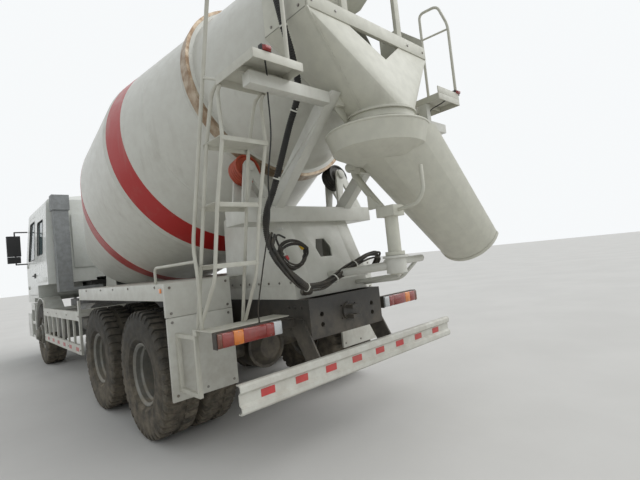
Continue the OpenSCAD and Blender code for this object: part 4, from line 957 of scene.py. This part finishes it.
# Chute, first along x away from the post and y across, then turned to hang off to the right
chute = {"slope": 40, "axisZ": 2.43, "back": 0.5, "length": 1.5, "wide": 0.38, "tip": 0.27, "rim": 2.28,
         "plate": 0.006, "bowl": 0.374, "bowlBack": 0.06, "bowlFoot": 2.08, "tiltX": 0.1, "tiltZ": 2.14}
chuteMatrix = moved(rig["pivot"], 0, 0) @ turned(-90, "Z")
downChute = moved(0, 0, chute["axisZ"]) @ turned(chute["slope"], "Y")
offChute = downChute.to_3x3() @ Vector((0, 0, 1))


def trough(wide, over):
    c = chute
    whole = c["back"] + c["length"] + over
    cone = lathe([(0, 0), (c["wide"] + wide, 0), (c["tip"] + wide, whole), (0, whole)],
                 downChute @ moved(-c["back"], 0, 0) @ turned(90, "Y"), 96)
    cone = cropped(cone, downChute @ Vector((0, 0, over / 10)), offChute)
    return cropped(cone, (0, 0, c["rim"] + over / 10), (0, 0, 1))


def bowl(wide, over):
    r, low, high = chute["bowl"], chute["bowlFoot"], chute["rim"] + over
    form = lathe([(0, low - wide), (0.2 + 0.2 * wide, low - wide),
                  (r - 0.04 + 0.8 * wide, low + 0.07 - 0.7 * wide), (r + wide, high), (0, high)],
                 moved(-chute["bowlBack"], 0, 0), 96)
    return cropped(form, (0.118, 0, 0), (1, 0, 0))


def makeChute():
    c = chute
    x, z, r, tip = c["tiltX"], c["tiltZ"], c["bowl"] + 0.003, c["tip"]
    pad = prism([(x - 0.09, z - 0.085), (x + 0.12, z - 0.085), (x + 0.06, z + 0.055), (x - 0.06, z + 0.055)],
                "Y", 0.26, 0.324)
    boss = pin((x, 0.28, z), (x, 0.338, z), 0.045)
    body = combined(trough(c["plate"], 0), [bowl(c["plate"], 0), pad, boss], "UNION")
    body = combined(body, [trough(0, 0.01), bowl(0, 0.001)])
    turns = [radians(62 + 236 * k / 72) for k in range(73)]
    rim = swept([(r * cos(a) - c["bowlBack"], r * sin(a), c["rim"]) for a in turns], 0.008, 12)
    end = downChute @ moved(c["length"] - 0.03, 0, 0) @ turned(90, "Y")
    stiffener = hoop(tip + 0.005, tip + 0.013, 0, 0.03, end, 96)
    parts = [body, rim, pin((x, 0.337, z), (x, 0.469, z), 0.02), pin((x, 0.458, z), (x, 0.468, z), 0.036),
             cropped(stiffener, downChute @ Vector((0, 0, -0.001)), offChute)]
    piece("chute_shell", placed(parts, chuteMatrix), "chute_white", "chute", replaced="chute", edge=0)


makeChute()


def makeArm():
    # post, head with the bent arm to the tilting hinge, handle at the back
    x, z, arm = chute["tiltX"], chute["tiltZ"], 0.397
    parts = [pin((0, 0, 1.23), (0, 0, 1.74), 0.05), pin((0, 0, 1.3703), (0, 0, 1.4), 0.072),
             brick((-0.065, 0.065), (-0.075, 0.085), (1.66, 1.74)),
             bentTube([(0, 0.05, 1.7), (0.06, 0.25, 1.9), (x, arm, 2.07), (x, arm, z - 0.036)],
                      0.03, 0.09, 20),
             sleeve((x, 0.34, z), (x, 0.455, z), 0.0205, 0.042),
             prism([(0.06, 1.74), (0.2, 1.74), (0.2, 1.86), (0.17, 1.84)], "X", -0.012, 0.012),
             bentTube([(0, -0.07, 1.7), (0, -0.24, 1.72), (0, -0.3, 1.8), (0, -0.3, 1.98)], 0.014, 0.06, 12)]
    piece("chute_post", placed(parts, chuteMatrix), "chute_white", "chute_arm", replaced="chute_arm")


makeArm()


def deckTray(z):
    (x0, x1), (y0, y1), t = decks["x"], decks["y"], decks["sheet"]
    low = z - decks["height"]
    under = brick((x0 + t, x1 - t), (y0 + t, y1 - t), (low - 0.01, z - t))
    tray = combined(brick((x0, x1), (y0, y1), (low, z)), [under])
    return [tray, brick((x0 + 0.2, x0 + 0.205), (y0 + t, y1 - t), (low + 0.01, z - t))]


# Ladder: y of each side and x of its foot, runs of its two rods in x and z, and its treads
ladder = {
    "sides": ((0.805, -1.06), (1.135, -0.99)), "radius": 0.013, "foot": 0.9873,
    "back": [(-1.29, 1.33), (-1.412, 1.8), (-1.56, 2.23), (-1.548, 2.52), (-1.59, 2.558)],
    "front": [(-1.345, 2.23), (-1.478, 2.545), (-1.59, 2.585)],
    "treads": [(-1.1, -1.325, 1.43), (-1.205, -1.425, 1.83), (-1.325, -1.57, 2.23)],    # front, back, height
    "pole": 1.174,
}


def makePlatforms():
    parts, rod, pole = deckTray(decks["left"]), ladder["radius"], ladder["pole"]
    top, rear = decks["right"], decks["x"][0]
    guard = [(-1.985, 1.14, top - 0.005), (-1.985, 1.14, 3.48), (-1.9, 1.14, 3.71), (-1.7, 1.14, 3.725),
             (-1.7, 1.14, top - 0.005)]
    rail = [bentTube(guard, rod), pin((-1.985, 1.14, 3.44), (-1.7, 1.14, 3.46), 0.009),
            brick((rear, rear + 0.008), decks["y"], (top, top + 0.06))]
    right = placed(deckTray(top) + rail, toSide(-1))
    for y, foot in ladder["sides"]:
        for shift, run in ((-0.02, ladder["back"]), (0.01, ladder["front"])):
            climb = [(foot + shift, ladder["foot"]), *run]
            parts.append(bentTube([(x, y, z) for x, z in climb], rod, 0.05))
    for front, back, z in ladder["treads"]:
        parts.append(prism([(back, z - 0.022), (back, z + 0.01), (front, z + 0.01), (front, z - 0.022),
                            (front - 0.004, z - 0.022), (front - 0.004, z + 0.005), (back + 0.004, z + 0.005),
                            (back + 0.004, z - 0.022)], "Y", 0.79, 1.15))
    # ledge over the lamp, frame of the step behind the mudguard
    ledge = (0.9833, 0.9913)
    parts += [brick((-1.23, -1.03), (0.5, 1.165), ledge), brick((-1.03, -0.945), (1.125, 1.165), ledge),
              brick((-1.0, -0.945), (1.135, 1.165), (0.945, ledge[0])),
              combined(brick((-0.975, -0.64), (1.135, 1.165), (0.5, 0.945)),
                       [brick((-0.945, -0.67), (1.1, 1.2), (0.53, 0.915))])]
    # grab pole beside the ladder, guard loop of the deck, hand rail on the mudguard
    parts += [bentTube([(-1.056, pole - 0.032, ledge[1]), (-1.131, pole, 1.358), (-1.096, pole, 1.569),
                        (-1.725, pole, 3.48), (-1.96, pole, 3.5), (-1.985, pole - 0.09, 3.42),
                        (-1.985, 0.9, 3.2), (-1.985, 0.9, 2.59)], rod, 0.09),
              pin((-1.59, 1.148, 2.58), (-1.45, pole, 2.644), 0.009, 12),
              bentTube([(-0.39, 1.185, 1.335), (-0.39, 1.185, 1.44), (-0.42, 1.185, 1.466),
                        (-1.11, pole, 1.472)], 0.011, 0.05)]
    piece("platform_set", parts + right, "body_white", paint="deck_white", replaced="platforms", edge=0.0015)


makePlatforms()
print("mixer gear made")

mudguard = {"back": -0.64, "ahead": 2.08, "outer": 1.22, "inner": 0.65, "shelfInner": 0.465, "top": 1.335,
            "sheet": 0.006, "foot": 0.426}


def makeMudguards():
    m = mudguard
    back, outer, inner, top, t, foot = m["back"], m["outer"], m["inner"], m["top"], m["sheet"], m["foot"]
    shelf, edge = (back + 0.04, m["ahead"]), m["shelfInner"]
    hem = (back + 0.012, back + 0.024)
    parts = [brick(shelf, (edge + t, outer - t), (top - t, top)),
             brick(shelf, (outer - t, outer), (1.2, top)), brick(shelf, (edge, edge + t), (1.3, top)),
             brick((back, back + 0.012), (inner, outer), (foot, 1.065)),
             brick((back, back + 0.04), (inner, outer), (1.069, top)),
             brick((back + 0.011, back + 0.041), (inner + 0.035, outer - 0.03), (1.005, 1.125))]
    # arms to the frame, folded hem of the plate, and cross ribs under the shelf
    parts += [brick((x, x + 0.06), (0.346, 0.466), (1.2105, 1.334)) for x in (-0.1, 1.99)]
    parts += [brick(hem, (y, y + 0.004), (foot + 0.004, 1.06)) for y in (inner, outer - 0.004)]
    parts += [brick(hem, (inner, outer), (foot, foot + 0.004))]
    parts += [brick((x, x + 0.03), (edge + t, outer - t), (1.305, top - t))
              for x in (-0.45, 0.2, 0.66, 1.1, 1.7)]
    piece("mudguard_set", mirrored(parts), "body_white", paint="frame_white", replaced="mudguards")
    # rest for the lowered chute, across from the back of the mixer frame
    rest = [bentTube([(-1.25, -0.3, 1.16), (-1.74, -0.3, 1.2), (-1.74, -0.18, 1.3)], 0.02, 0.05),
            bentTube([(-1.74, -0.13, 1.315), (-1.74, -0.63, 1.32)], 0.03, 0.05, 20),
            bentTube([(-1.25, -0.4, 1.14), (-1.6, -0.5, 1.16), (-1.74, -0.56, 1.31)], 0.016, 0.06)]
    piece("chute_rest", rest, "body_white", paint="frame_white")


makeMudguards()

# Lamps: the rear ones have lens fields from the outer end inwards, each with its colour
rearLamp = {
    "fields": [(1.15, 1.118, "lampDark"), (1.118, 1.03, "lamp"), (1.03, 0.952, "lampAmber"),
               (0.952, 0.76, "lamp"), (0.76, 0.69, "lamp"), (0.69, 0.62, "lampClear")],
    "z": (0.87, 0.98), "x": (-1.29, -1.215), "gap": 0.001, "ridges": 8, "ridgeStep": 0.01,
}
headLamp = {"y": (0.733, 1.067), "z": (0.593, 0.767), "middle": 0.68, "bulbs": 0.075}


def makeRearLamp():
    (low, high), (back, front), gap = rearLamp["z"], rearLamp["x"], rearLamp["gap"]
    section = [(front - 0.03, low + 0.006), (back + 0.006, low + 0.006), (back, low + 0.014),
               (back, high - 0.014), (back + 0.006, high - 0.006), (front - 0.03, high - 0.006)]
    ridges = [low + 0.02 + rearLamp["ridgeStep"] * k for k in range(rearLamp["ridges"])]
    parts = []
    for outer, inner, paint in rearLamp["fields"]:
        a, b = inner + gap, outer - gap
        cover = [prism(section, "Y", a, b)]
        cover += [brick((back - 0.0006, back + 0.001), (a + 0.004, b - 0.004), (z, z + 0.0015))
                  for z in ridges]
        parts += painted(cover, paint)
    parts += painted([brick((front - 0.034, front), (0.616, 1.154), (low, high)),
                      brick((front - 0.06, front - 0.034), (0.614, 0.622), (low, high)),
                      brick((front - 0.06, front - 0.034), (1.148, 1.156), (low, high)),
                      brick((front, front + 0.02), (0.44, 0.9), (low + 0.02, high - 0.03))], "black_plastic")
    return parts + painted([pin((back - 0.0005, y, z), (back + 0.006, y, z), 0.004, 12, 0.001)
                            for y in (0.724, 0.99) for z in (low + 0.018, high - 0.018)], "bolt_steel")


def makeHeadLamp(sign):
    x, (low, high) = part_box("front_bumper")[1][0] - axle, headLamp["z"]
    a, b = sorted(sign * y for y in headLamp["y"])
    shell = painted([brick((x - 0.06, x - 0.035), (a, b), (low, high))], "black_plastic")
    cover = cornered((a + 0.004, b - 0.004), (low + 0.004, high - 0.004), 0.008)
    glass = painted([prism(cover, "X", x - 0.036, x - 0.01)], "lampClear")
    dish = [(0, 0.0), (0.045, 0.0), (0.06, 0.012), (0.064, 0.012), (0.064, 0.016), (0, 0.016)]
    bulbs = [lathe(dish, moved(x - 0.024, (a + b) / 2 + shift, headLamp["middle"]) @ turned(90, "Y"), 32)
             for shift in (-headLamp["bulbs"], headLamp["bulbs"])]
    return shell + glass + painted(bulbs, "bolt_steel")


def makeLamps():
    rear = [part for side in (1, -1) for part in placed(makeRearLamp(), toSide(side))]
    front = [part for side in (1, -1) for part in makeHeadLamp(side)]
    piece("lamp_set", rear + front, "lamp", replaced="lamps", edge=0.0015)


makeLamps()

# Red marks on the rear bumper and along the sides, amber reflectors, marker lamps of the decks
marks = {"rear": [-0.97, -0.68, -0.40, -0.13, 0.15, 0.43, 0.71, 0.99], "rearX": -1.578, "half": 0.054,
         "rearZ": (0.586, 0.634), "side": 2.3, "sideStep": 0.4, "sides": 6,
         "markers": {"left": (-1.985, 1.06, 2.62), "right": (-1.985, -1.15, 2.82)}}


def makeMarks():
    x, half, start = marks["rearX"], marks["half"], marks["side"]
    bars = [prism(cornered((y - half, y + half), marks["rearZ"], 0.002, 0.004), "X", x - 0.0015, x)
            for y in marks["rear"]]
    piece("bumper_marks", bars, "lamp", paint="reflectRed", edge=0)
    starts = [start + marks["sideStep"] * k for k in range(marks["sides"])]
    sides = mirrored([brick((x0, x0 + 0.15), (1.2195, 1.2212), (0.535, 0.585)) for x0 in starts])
    piece("side_marks", sides, "lamp", paint="reflectRed", edge=0)
    ambers = mirrored([prism(cornered((-0.585, -0.54), (1.262, 1.298), 0.005), "Y", 1.22, 1.226)])
    piece("side_reflectors", ambers, "lamp", paint="lampAmber", edge=0.001)
    for name, (x, y, z) in marks["markers"].items():
        base = brick((x - 0.012, x + 0.02), (y - 0.035, y + 0.035), (z - 0.025, z + 0.02))
        cover = wrapped([(x - 0.012, y + a, z + b) for a in (-0.03, 0.03) for b in (-0.017, 0.015)]
                        + [(x - 0.032, y + a, z + b) for a in (-0.02, 0.02) for b in (-0.01, 0.008)])
        piece("marker_lamp_" + name, painted([base], "black_plastic") + [cover], "lamp", edge=0.0015)


makeMarks()

# Hoses and cables behind the drum, along the routes that the photograph shows
routes = {
    "hose": [(-1.7, 0.463, 3.7), (-1.7, 0.62, 3.7), (-1.7, 0.76, 3.6), (-1.79, 0.745, 3.0),
             (-1.76, 0.66, 2.79), (-1.65, 0.54, 2.61), (-1.5, 0.54, 2.375), (-1.349, 0.6, 1.99),
             (-1.2, 0.6, 1.787), (-1.192, 0.6, 1.59), (-1.291, 0.6, 1.412), (-1.44, 0.56, 1.28),
             (-1.42, 0.44, 1.19), (-1.34, 0.36, 1.155), (-1.252, 0.35, 1.155)],
    "bundle": [(-1.3, 0.63, 1.6), (-1.36, 0.7, 1.5), (-1.42, 0.63, 1.32), (-1.42, 0.5, 1.215),
               (-1.42, 0.3, 1.19), (-1.42, 0.15, 1.23), (-1.42, 0.0, 1.285), (-1.42, -0.13, 1.335),
               (-1.42, -0.3, 1.383), (-1.4, -0.46, 1.37), (-1.28, -0.5, 1.25)],
    "coilEnd": [(-1.33, 0.57, 1.46), (-1.3, 0.6, 1.58), (-1.26, 0.55, 1.62), (-1.2, 0.44, 1.6)],
    "leftLamp": [(-1.97, 1.06, 2.6), (-1.85, 0.96, 2.53), (-1.8, 0.93, 2.46), (-1.79, 0.93, 2.2),
                 (-1.72, 0.93, 1.95), (-1.62, 0.88, 1.7), (-1.42, 0.83, 1.38), (-1.27, 0.8, 1.1),
                 (-1.235, 0.78, 0.985)],
    "rightLamp": [(-1.97, -1.12, 2.8), (-1.9, -1.0, 2.72), (-1.85, -0.9, 2.66), (-1.84, -0.8, 2.55),
                  (-1.84, -0.5, 2.53), (-1.84, -0.456, 2.48)],
}
hose = {"radius": 0.022, "ribs": 0.0035, "ties": (0.12, 0.3, 0.47, 0.62, 0.8)}
bundle = {"lines": ((0, 0, 0.014), (0.012, 0.024, 0.011), (-0.018, 0.02, 0.01), (-0.014, -0.018, 0.008)),
          "ties": (0.34, 0.52, 0.68)}       # each line's offset across and up, and its radius
coil = {"turns": 5, "middle": (-1.34, 0.46, 1.45), "wide": 0.12, "high": 0.085, "radius": 0.0075}


def ties(path, at, radius):
    rings = []
    for share in at:
        i = min(len(path) - 2, int(share * (len(path) - 1)))
        ahead = (path[i + 1] - path[i]).normalized() * 0.005
        x, y, z = path[i] + Vector((-radius - 0.004, 0, 0))
        rings += [sleeve(path[i] - ahead, path[i] + ahead, radius, radius + 0.003, 20),
                  brick((x - 0.006, x + 0.004), (y - 0.004, y + 0.004), (z - 0.005, z + 0.005))]
    return painted(rings, "tie")


def makeHose():
    path, fit = laid(routes["hose"], 0.008, 12), hose["radius"] + 0.0042
    parts = painted([swept(path, hose["radius"], 20, hose["ribs"])], "rubber") + ties(path, hose["ties"], fit)
    ends = [sleeve(a, b, fit, 0.031, 24) for a, b in ((path[0], path[4]), (path[-5], path[-1]))]
    parts += painted(ends, "bolt_steel")
    parts += painted([brick((-1.2, -1.13), (0.592, 0.608), (1.785, 1.8)),
                      brick((-1.235, -1.165), (0.47, 0.485), (1.66, 1.68))], "frame_white")
    piece("long_hose", parts, "rubber", replaced="hoses", edge=0)


def makeBundle():
    lines = []
    for k, (dy, dz, r) in enumerate(bundle["lines"]):
        wander, route = random.Random(7 + k), []
        for spot in routes["bundle"]:
            across = 0.2 * dy + 0.012 * (wander.random() - 0.5)
            route.append(Vector(spot) + Vector((dy, across, dz + 0.02 * (wander.random() - 0.5))))
        lines.append(swept(laid(route, 0.012), r, 12))
    bands = ties(laid(routes["bundle"], 0.012), bundle["ties"], 0.034)
    piece("hose_bundle", painted(lines, "rubber") + bands, "rubber", edge=0)


def makeCoil():
    # coil of cable hung up at the left leg, with taped ends
    (x, y, z), wide, high, parts = coil["middle"], coil["wide"], coil["high"], []
    for k in range(coil["turns"]):
        turn = random.Random(20 + k)
        lift, ring = 0.025 * (turn.random() - 0.5), []
        for a in (2 * pi * i / 40 for i in range(41)):
            ring.append(Vector((x + 0.012 * k + 0.02 * sin(2 * a), y + (wide + 0.01 * turn.random()) * cos(a),
                                z + lift + (high + 0.008 * k) * sin(a))))
        parts.append(swept(ring[:-1] + [ring[0] + Vector((0.003, 0, 0))], coil["radius"], 10))
    parts.append(swept(laid(routes["coilEnd"], 0.012, 8), 0.008, 10))
    parts = painted(parts, "rubber")
    parts += painted([sleeve((-1.32, 0.36, 1.5), (-1.32, 0.385, 1.53), 0.002, 0.02, 16)], "tapeYellow")
    parts += painted([sleeve((-1.31, 0.52, 1.42), (-1.31, 0.535, 1.45), 0.002, 0.018, 16)], "reflectRed")
    piece("cable_coil", parts, "rubber", edge=0)


makeHose()
makeBundle()
makeCoil()
cables = [swept(laid(routes[side], 0.015), 0.005, 10) for side in ("leftLamp", "rightLamp")]
piece("lamp_cables", cables, "rubber", edge=0)
print("hoses made")

# Blades of the drum's inner screw, as far as the mouth shows them
blades = {"starts": 2, "pitch": 1.5, "from": -2.1, "to": -0.35, "height": 0.3, "thickness": 0.005,
          "steps": 110, "drumRadius": 1.2, "slope": (1.2 - 0.854) / 1.366, "gap": 0.011}


def makeBlade(start):
    spec, verts, faces = blades, [], []
    for i in range(spec["steps"] + 1):
        s = spec["from"] + (spec["to"] - spec["from"]) * i / spec["steps"]
        angle = 2 * pi * (start / spec["starts"] + (s - spec["from"]) / spec["pitch"])
        outer = spec["drumRadius"] + spec["slope"] * s - spec["gap"]
        rise = spec["height"] * min(1.0, 0.35 + i / 14)      # the blade starts low at the mouth
        for r, lean in ((outer, 0.0), (outer - 0.93 * rise, -0.05), (outer - rise, -0.085)):
            for side in (-0.5, 0.5):
                verts.append((s + lean + side * spec["thickness"], r * cos(angle), r * sin(angle)))
    ring = (0, 2, 4, 5, 3, 1)
    for i in range(0, 6 * spec["steps"], 6):
        faces += [(i + a, i + b, i + 6 + b, i + 6 + a) for a, b in zip(ring, ring[1:] + ring[:1])]
    faces += [tuple(reversed(ring)), tuple(6 * spec["steps"] + k for k in ring)]
    return tidyNormals(placed([meshObject("blade", verts, faces)], drumMatrix)[0])


screw = [makeBlade(start) for start in range(blades["starts"])]
piece("drum_blades", screw, "drum_white", "drum", "bladeSteel", edge=0)

# Cab: seals, handles, wipers, pressed panels of the back wall
cab = {"back": 4.5, "half": 1.15, "waist": 1.98, "lean": 0.05 / 0.84, "shield": (6.775, 1.99),
       "shieldLean": 0.29 / 0.86, "door": (5.645, 6.595), "seal": 0.009, "creases": (1.42, 1.84),
       "wipers": ((0.55, -0.05), (-0.25, -0.85)), "panels": ((-0.74, -0.26), (-0.24, 0.24), (0.26, 0.74))}


def sideY(z):
    return cab["half"] - max(0.0, z - cab["waist"]) * cab["lean"]


def shieldX(z):
    return cab["shield"][0] - (z - cab["shield"][1]) * cab["shieldLean"]


def seal(points, radius):
    closed = [Vector(p) for p in points]
    middle = (closed[0] + closed[-1]) / 2
    return swept(bends([middle] + closed + [middle], 0.05, 5), radius, 10)


def sideSeal(outline):
    return seal([(x, sideY(z) - 0.004, z) for x, z in outline], cab["seal"])


def makeDoorTrim(side, name):
    x0, x1 = cab["door"]
    sill, lintel, rear = 1.96, 2.705, x0 + 0.095
    grip = [(x0 + 0.07, 1.15), (x0 + 0.08, 1.182), (x0 + 0.23, 1.182), (x0 + 0.24, 1.15)]
    parts = painted([sideSeal([(rear, sill), (x1 - 0.105, sill), (x1 - 0.33, lintel), (rear, lintel)]),
                     prism(cornered((x0 + 0.05, x0 + 0.26), (1.6, 1.69), 0.01), "Y", 1.149, 1.153),
                     bentTube([(x, y, 1.645) for x, y in grip], 0.011, 0.03, 12)], "black_plastic")
    # pressed lines along the door's lower half
    creases = [brick((x0 + 0.03, x1 - 0.03), (1.149, 1.1535), (z, z + 0.012)) for z in cab["creases"]]
    parts += painted(creases, "body_white")
    piece("door_trim_" + name, placed(parts, toSide(side)), "black_plastic", "door_" + name, edge=0)


def makeWiper(y, tip):
    base = Vector((shieldX(2.02) + 0.018, y, 2.02))
    end = Vector((shieldX(2.5) + 0.016, (y + tip) / 2 - 0.1, 2.5))
    tips = (end.lerp(base, 0.55), end + (end - base) * 0.35)
    blade = [Vector((shieldX(p.z) + 0.006, p.y - 0.02, p.z)) for p in tips]
    return [pin(base - Vector((0.03, 0, 0)), base + Vector((0.008, 0, 0)), 0.018),
            swept([base, end], 0.006, 10), swept(blade, 0.0065, 8)]


def makeCab():
    makeDoorTrim(1, "left")
    makeDoorTrim(-1, "right")
    back, turns = cab["back"], [2 * pi * k / 32 for k in range(32)]
    rubber = mirrored([sideSeal([(4.845, 2.0), (5.415, 2.0), (5.415, 2.62), (4.845, 2.62)])])
    shield = ((-1.03, 2.04), (1.03, 2.04), (0.98, 2.79), (-0.98, 2.79))
    rubber.append(seal([(shieldX(z) - 0.002, y, z) for y, z in shield], 0.011))
    for y, tip in cab["wipers"]:
        rubber += makeWiper(y, tip)
    vent = [(0.915 + 0.105 * cos(a), 1.89 + 0.04 * sin(a)) for a in turns]
    rubber.append(prism(vent, "X", back - 0.006, back + 0.001))
    panels = [prism(cornered(y, (1.7, 2.68), 0.02), "X", back - 0.008, back + 0.001) for y in cab["panels"]]
    panels += mirrored([prism(cornered((4.6, 5.52), (1.5, 1.58), 0.02), "Y", 1.149, 1.155)])
    piece("cab_trim", rubber + painted(panels, "body_white"), "black_plastic", "cab", edge=0.001)


makeCab()


# Bolts where sheets and beams are screwed together
def bothSides(spots):
    return spots + [(x, -y, z, a, -b, c) for x, y, z, a, b, c in spots]


def rearward(x, ys, zs):
    return [(x, y, z, -1, 0, 0) for y in ys for z in zs]


def outward(y, xs, zs):
    return [(x, y, z, 0, 1, 0) for x in xs for z in zs]


def makeBolts():
    tail, rail, outer, back = -1.38, rig["rail"], mudguard["outer"], mudguard["back"]
    frameBolts = bothSides(rearward(tail, (0.09, 0.13), (0.88, 1.02))
                           + rearward(tail, [0.385], (0.84, 0.9, 1.0, 1.06))
                           + rearward(tail, [0.21], (0.84, 1.06)))
    frameBolts += bothSides(outward(rail, (-1.3, -1.22, -1.14), (0.86, 1.04))
                            + outward(rail, (1.9, 2.0, 2.6, 2.7, 3.3, 3.4), (0.9, 1.02)))
    sheetBolts = bothSides(outward(rail, (-1.2, -1.05, -0.9, -0.75, -0.6, -0.45, -0.3), [1.235])
                           + rearward(back, (0.69, 0.93, 1.18), (0.47, 1.03, 1.1, 1.3))
                           + outward(outer, (2.2, 2.9, 3.6, 4.3, 4.68), (0.56, 0.99))
                           + outward(outer, (-0.45, 0.2, 0.66, 1.1, 1.7), [1.31]))
    sheetBolts += rearward(-1.98, (-0.64, -0.42, 0.42, 0.64), [3.07])
    sheetBolts += bothSides(outward(0.686, (-1.9, -1.75, -1.6), [3.06]))
    for name, spots, radius, paint in (("frame_bolts", frameBolts, 0.012, "frame_black"),
                                       ("sheet_bolts", sheetBolts, 0.009, "bolt_steel")):
        boltsAt(name, "root", [(axle + spot[0],) + spot[1:] for spot in spots], radius, radius * 0.75, paint)


makeBolts()
print("cab trim and bolts made")


# Floor, lamps and the pale surroundings
def makeFloor():
    reach = 120
    corners = [(-reach, -reach, 0), (reach, -reach, 0), (reach, reach, 0), (-reach, reach, 0)]
    floor = meshObject("floor", corners, [(0, 1, 2, 3)])
    ground, tree = newMaterial("paleFloor")
    stain = remap(tree, noise(tree, objectPlace(tree), 0.6, 5.0, 0.6), 0.3, 0.7)
    closeMaterial(tree, {"Base Color": blendColour(tree, stain, linear(208, 206, 202), linear(202, 200, 196)),
                         "Roughness": 0.85})
    floor.data.materials.append(ground)


def makeSky():
    # lights the truck evenly, and shows white where a ray sees the sky itself
    world = bpy.data.worlds.new("surroundings")
    scene.world = world
    world.use_nodes = True
    tree = world.node_tree
    tree.nodes.clear()
    rays = add(tree, "ShaderNodeLightPath").outputs
    seen = calc(tree, "MAXIMUM", calc(tree, "MAXIMUM", rays["Is Camera Ray"], rays["Is Glossy Ray"]),
                rays["Is Transmission Ray"])
    light = add(tree, "ShaderNodeBackground", {"Color": (0.93, 0.97, 1.0, 1), "Strength": 0.62})
    pale = add(tree, "ShaderNodeBackground", {"Color": (0.93, 0.95, 0.96, 1), "Strength": 1.0})
    both = add(tree, "ShaderNodeMixShader", {0: seen, 1: light.outputs[0], 2: pale.outputs[0]})
    add(tree, "ShaderNodeOutputWorld", {"Surface": both.outputs[0]})


def makeLight(name, strength, turn, spread):
    data = bpy.data.lights.new(name, "SUN")
    data.energy = strength
    data.angle = radians(spread)
    shown(name, data).rotation_euler = turn


makeFloor()
makeSky()
makeLight("skyLamp", 1.25, (0.5, -0.45, 0), 60)
makeLight("sideLamp", 0.35, (1.1, 0, -0.9), 60)
scene.view_settings.view_transform = "Standard"
print("surroundings made")
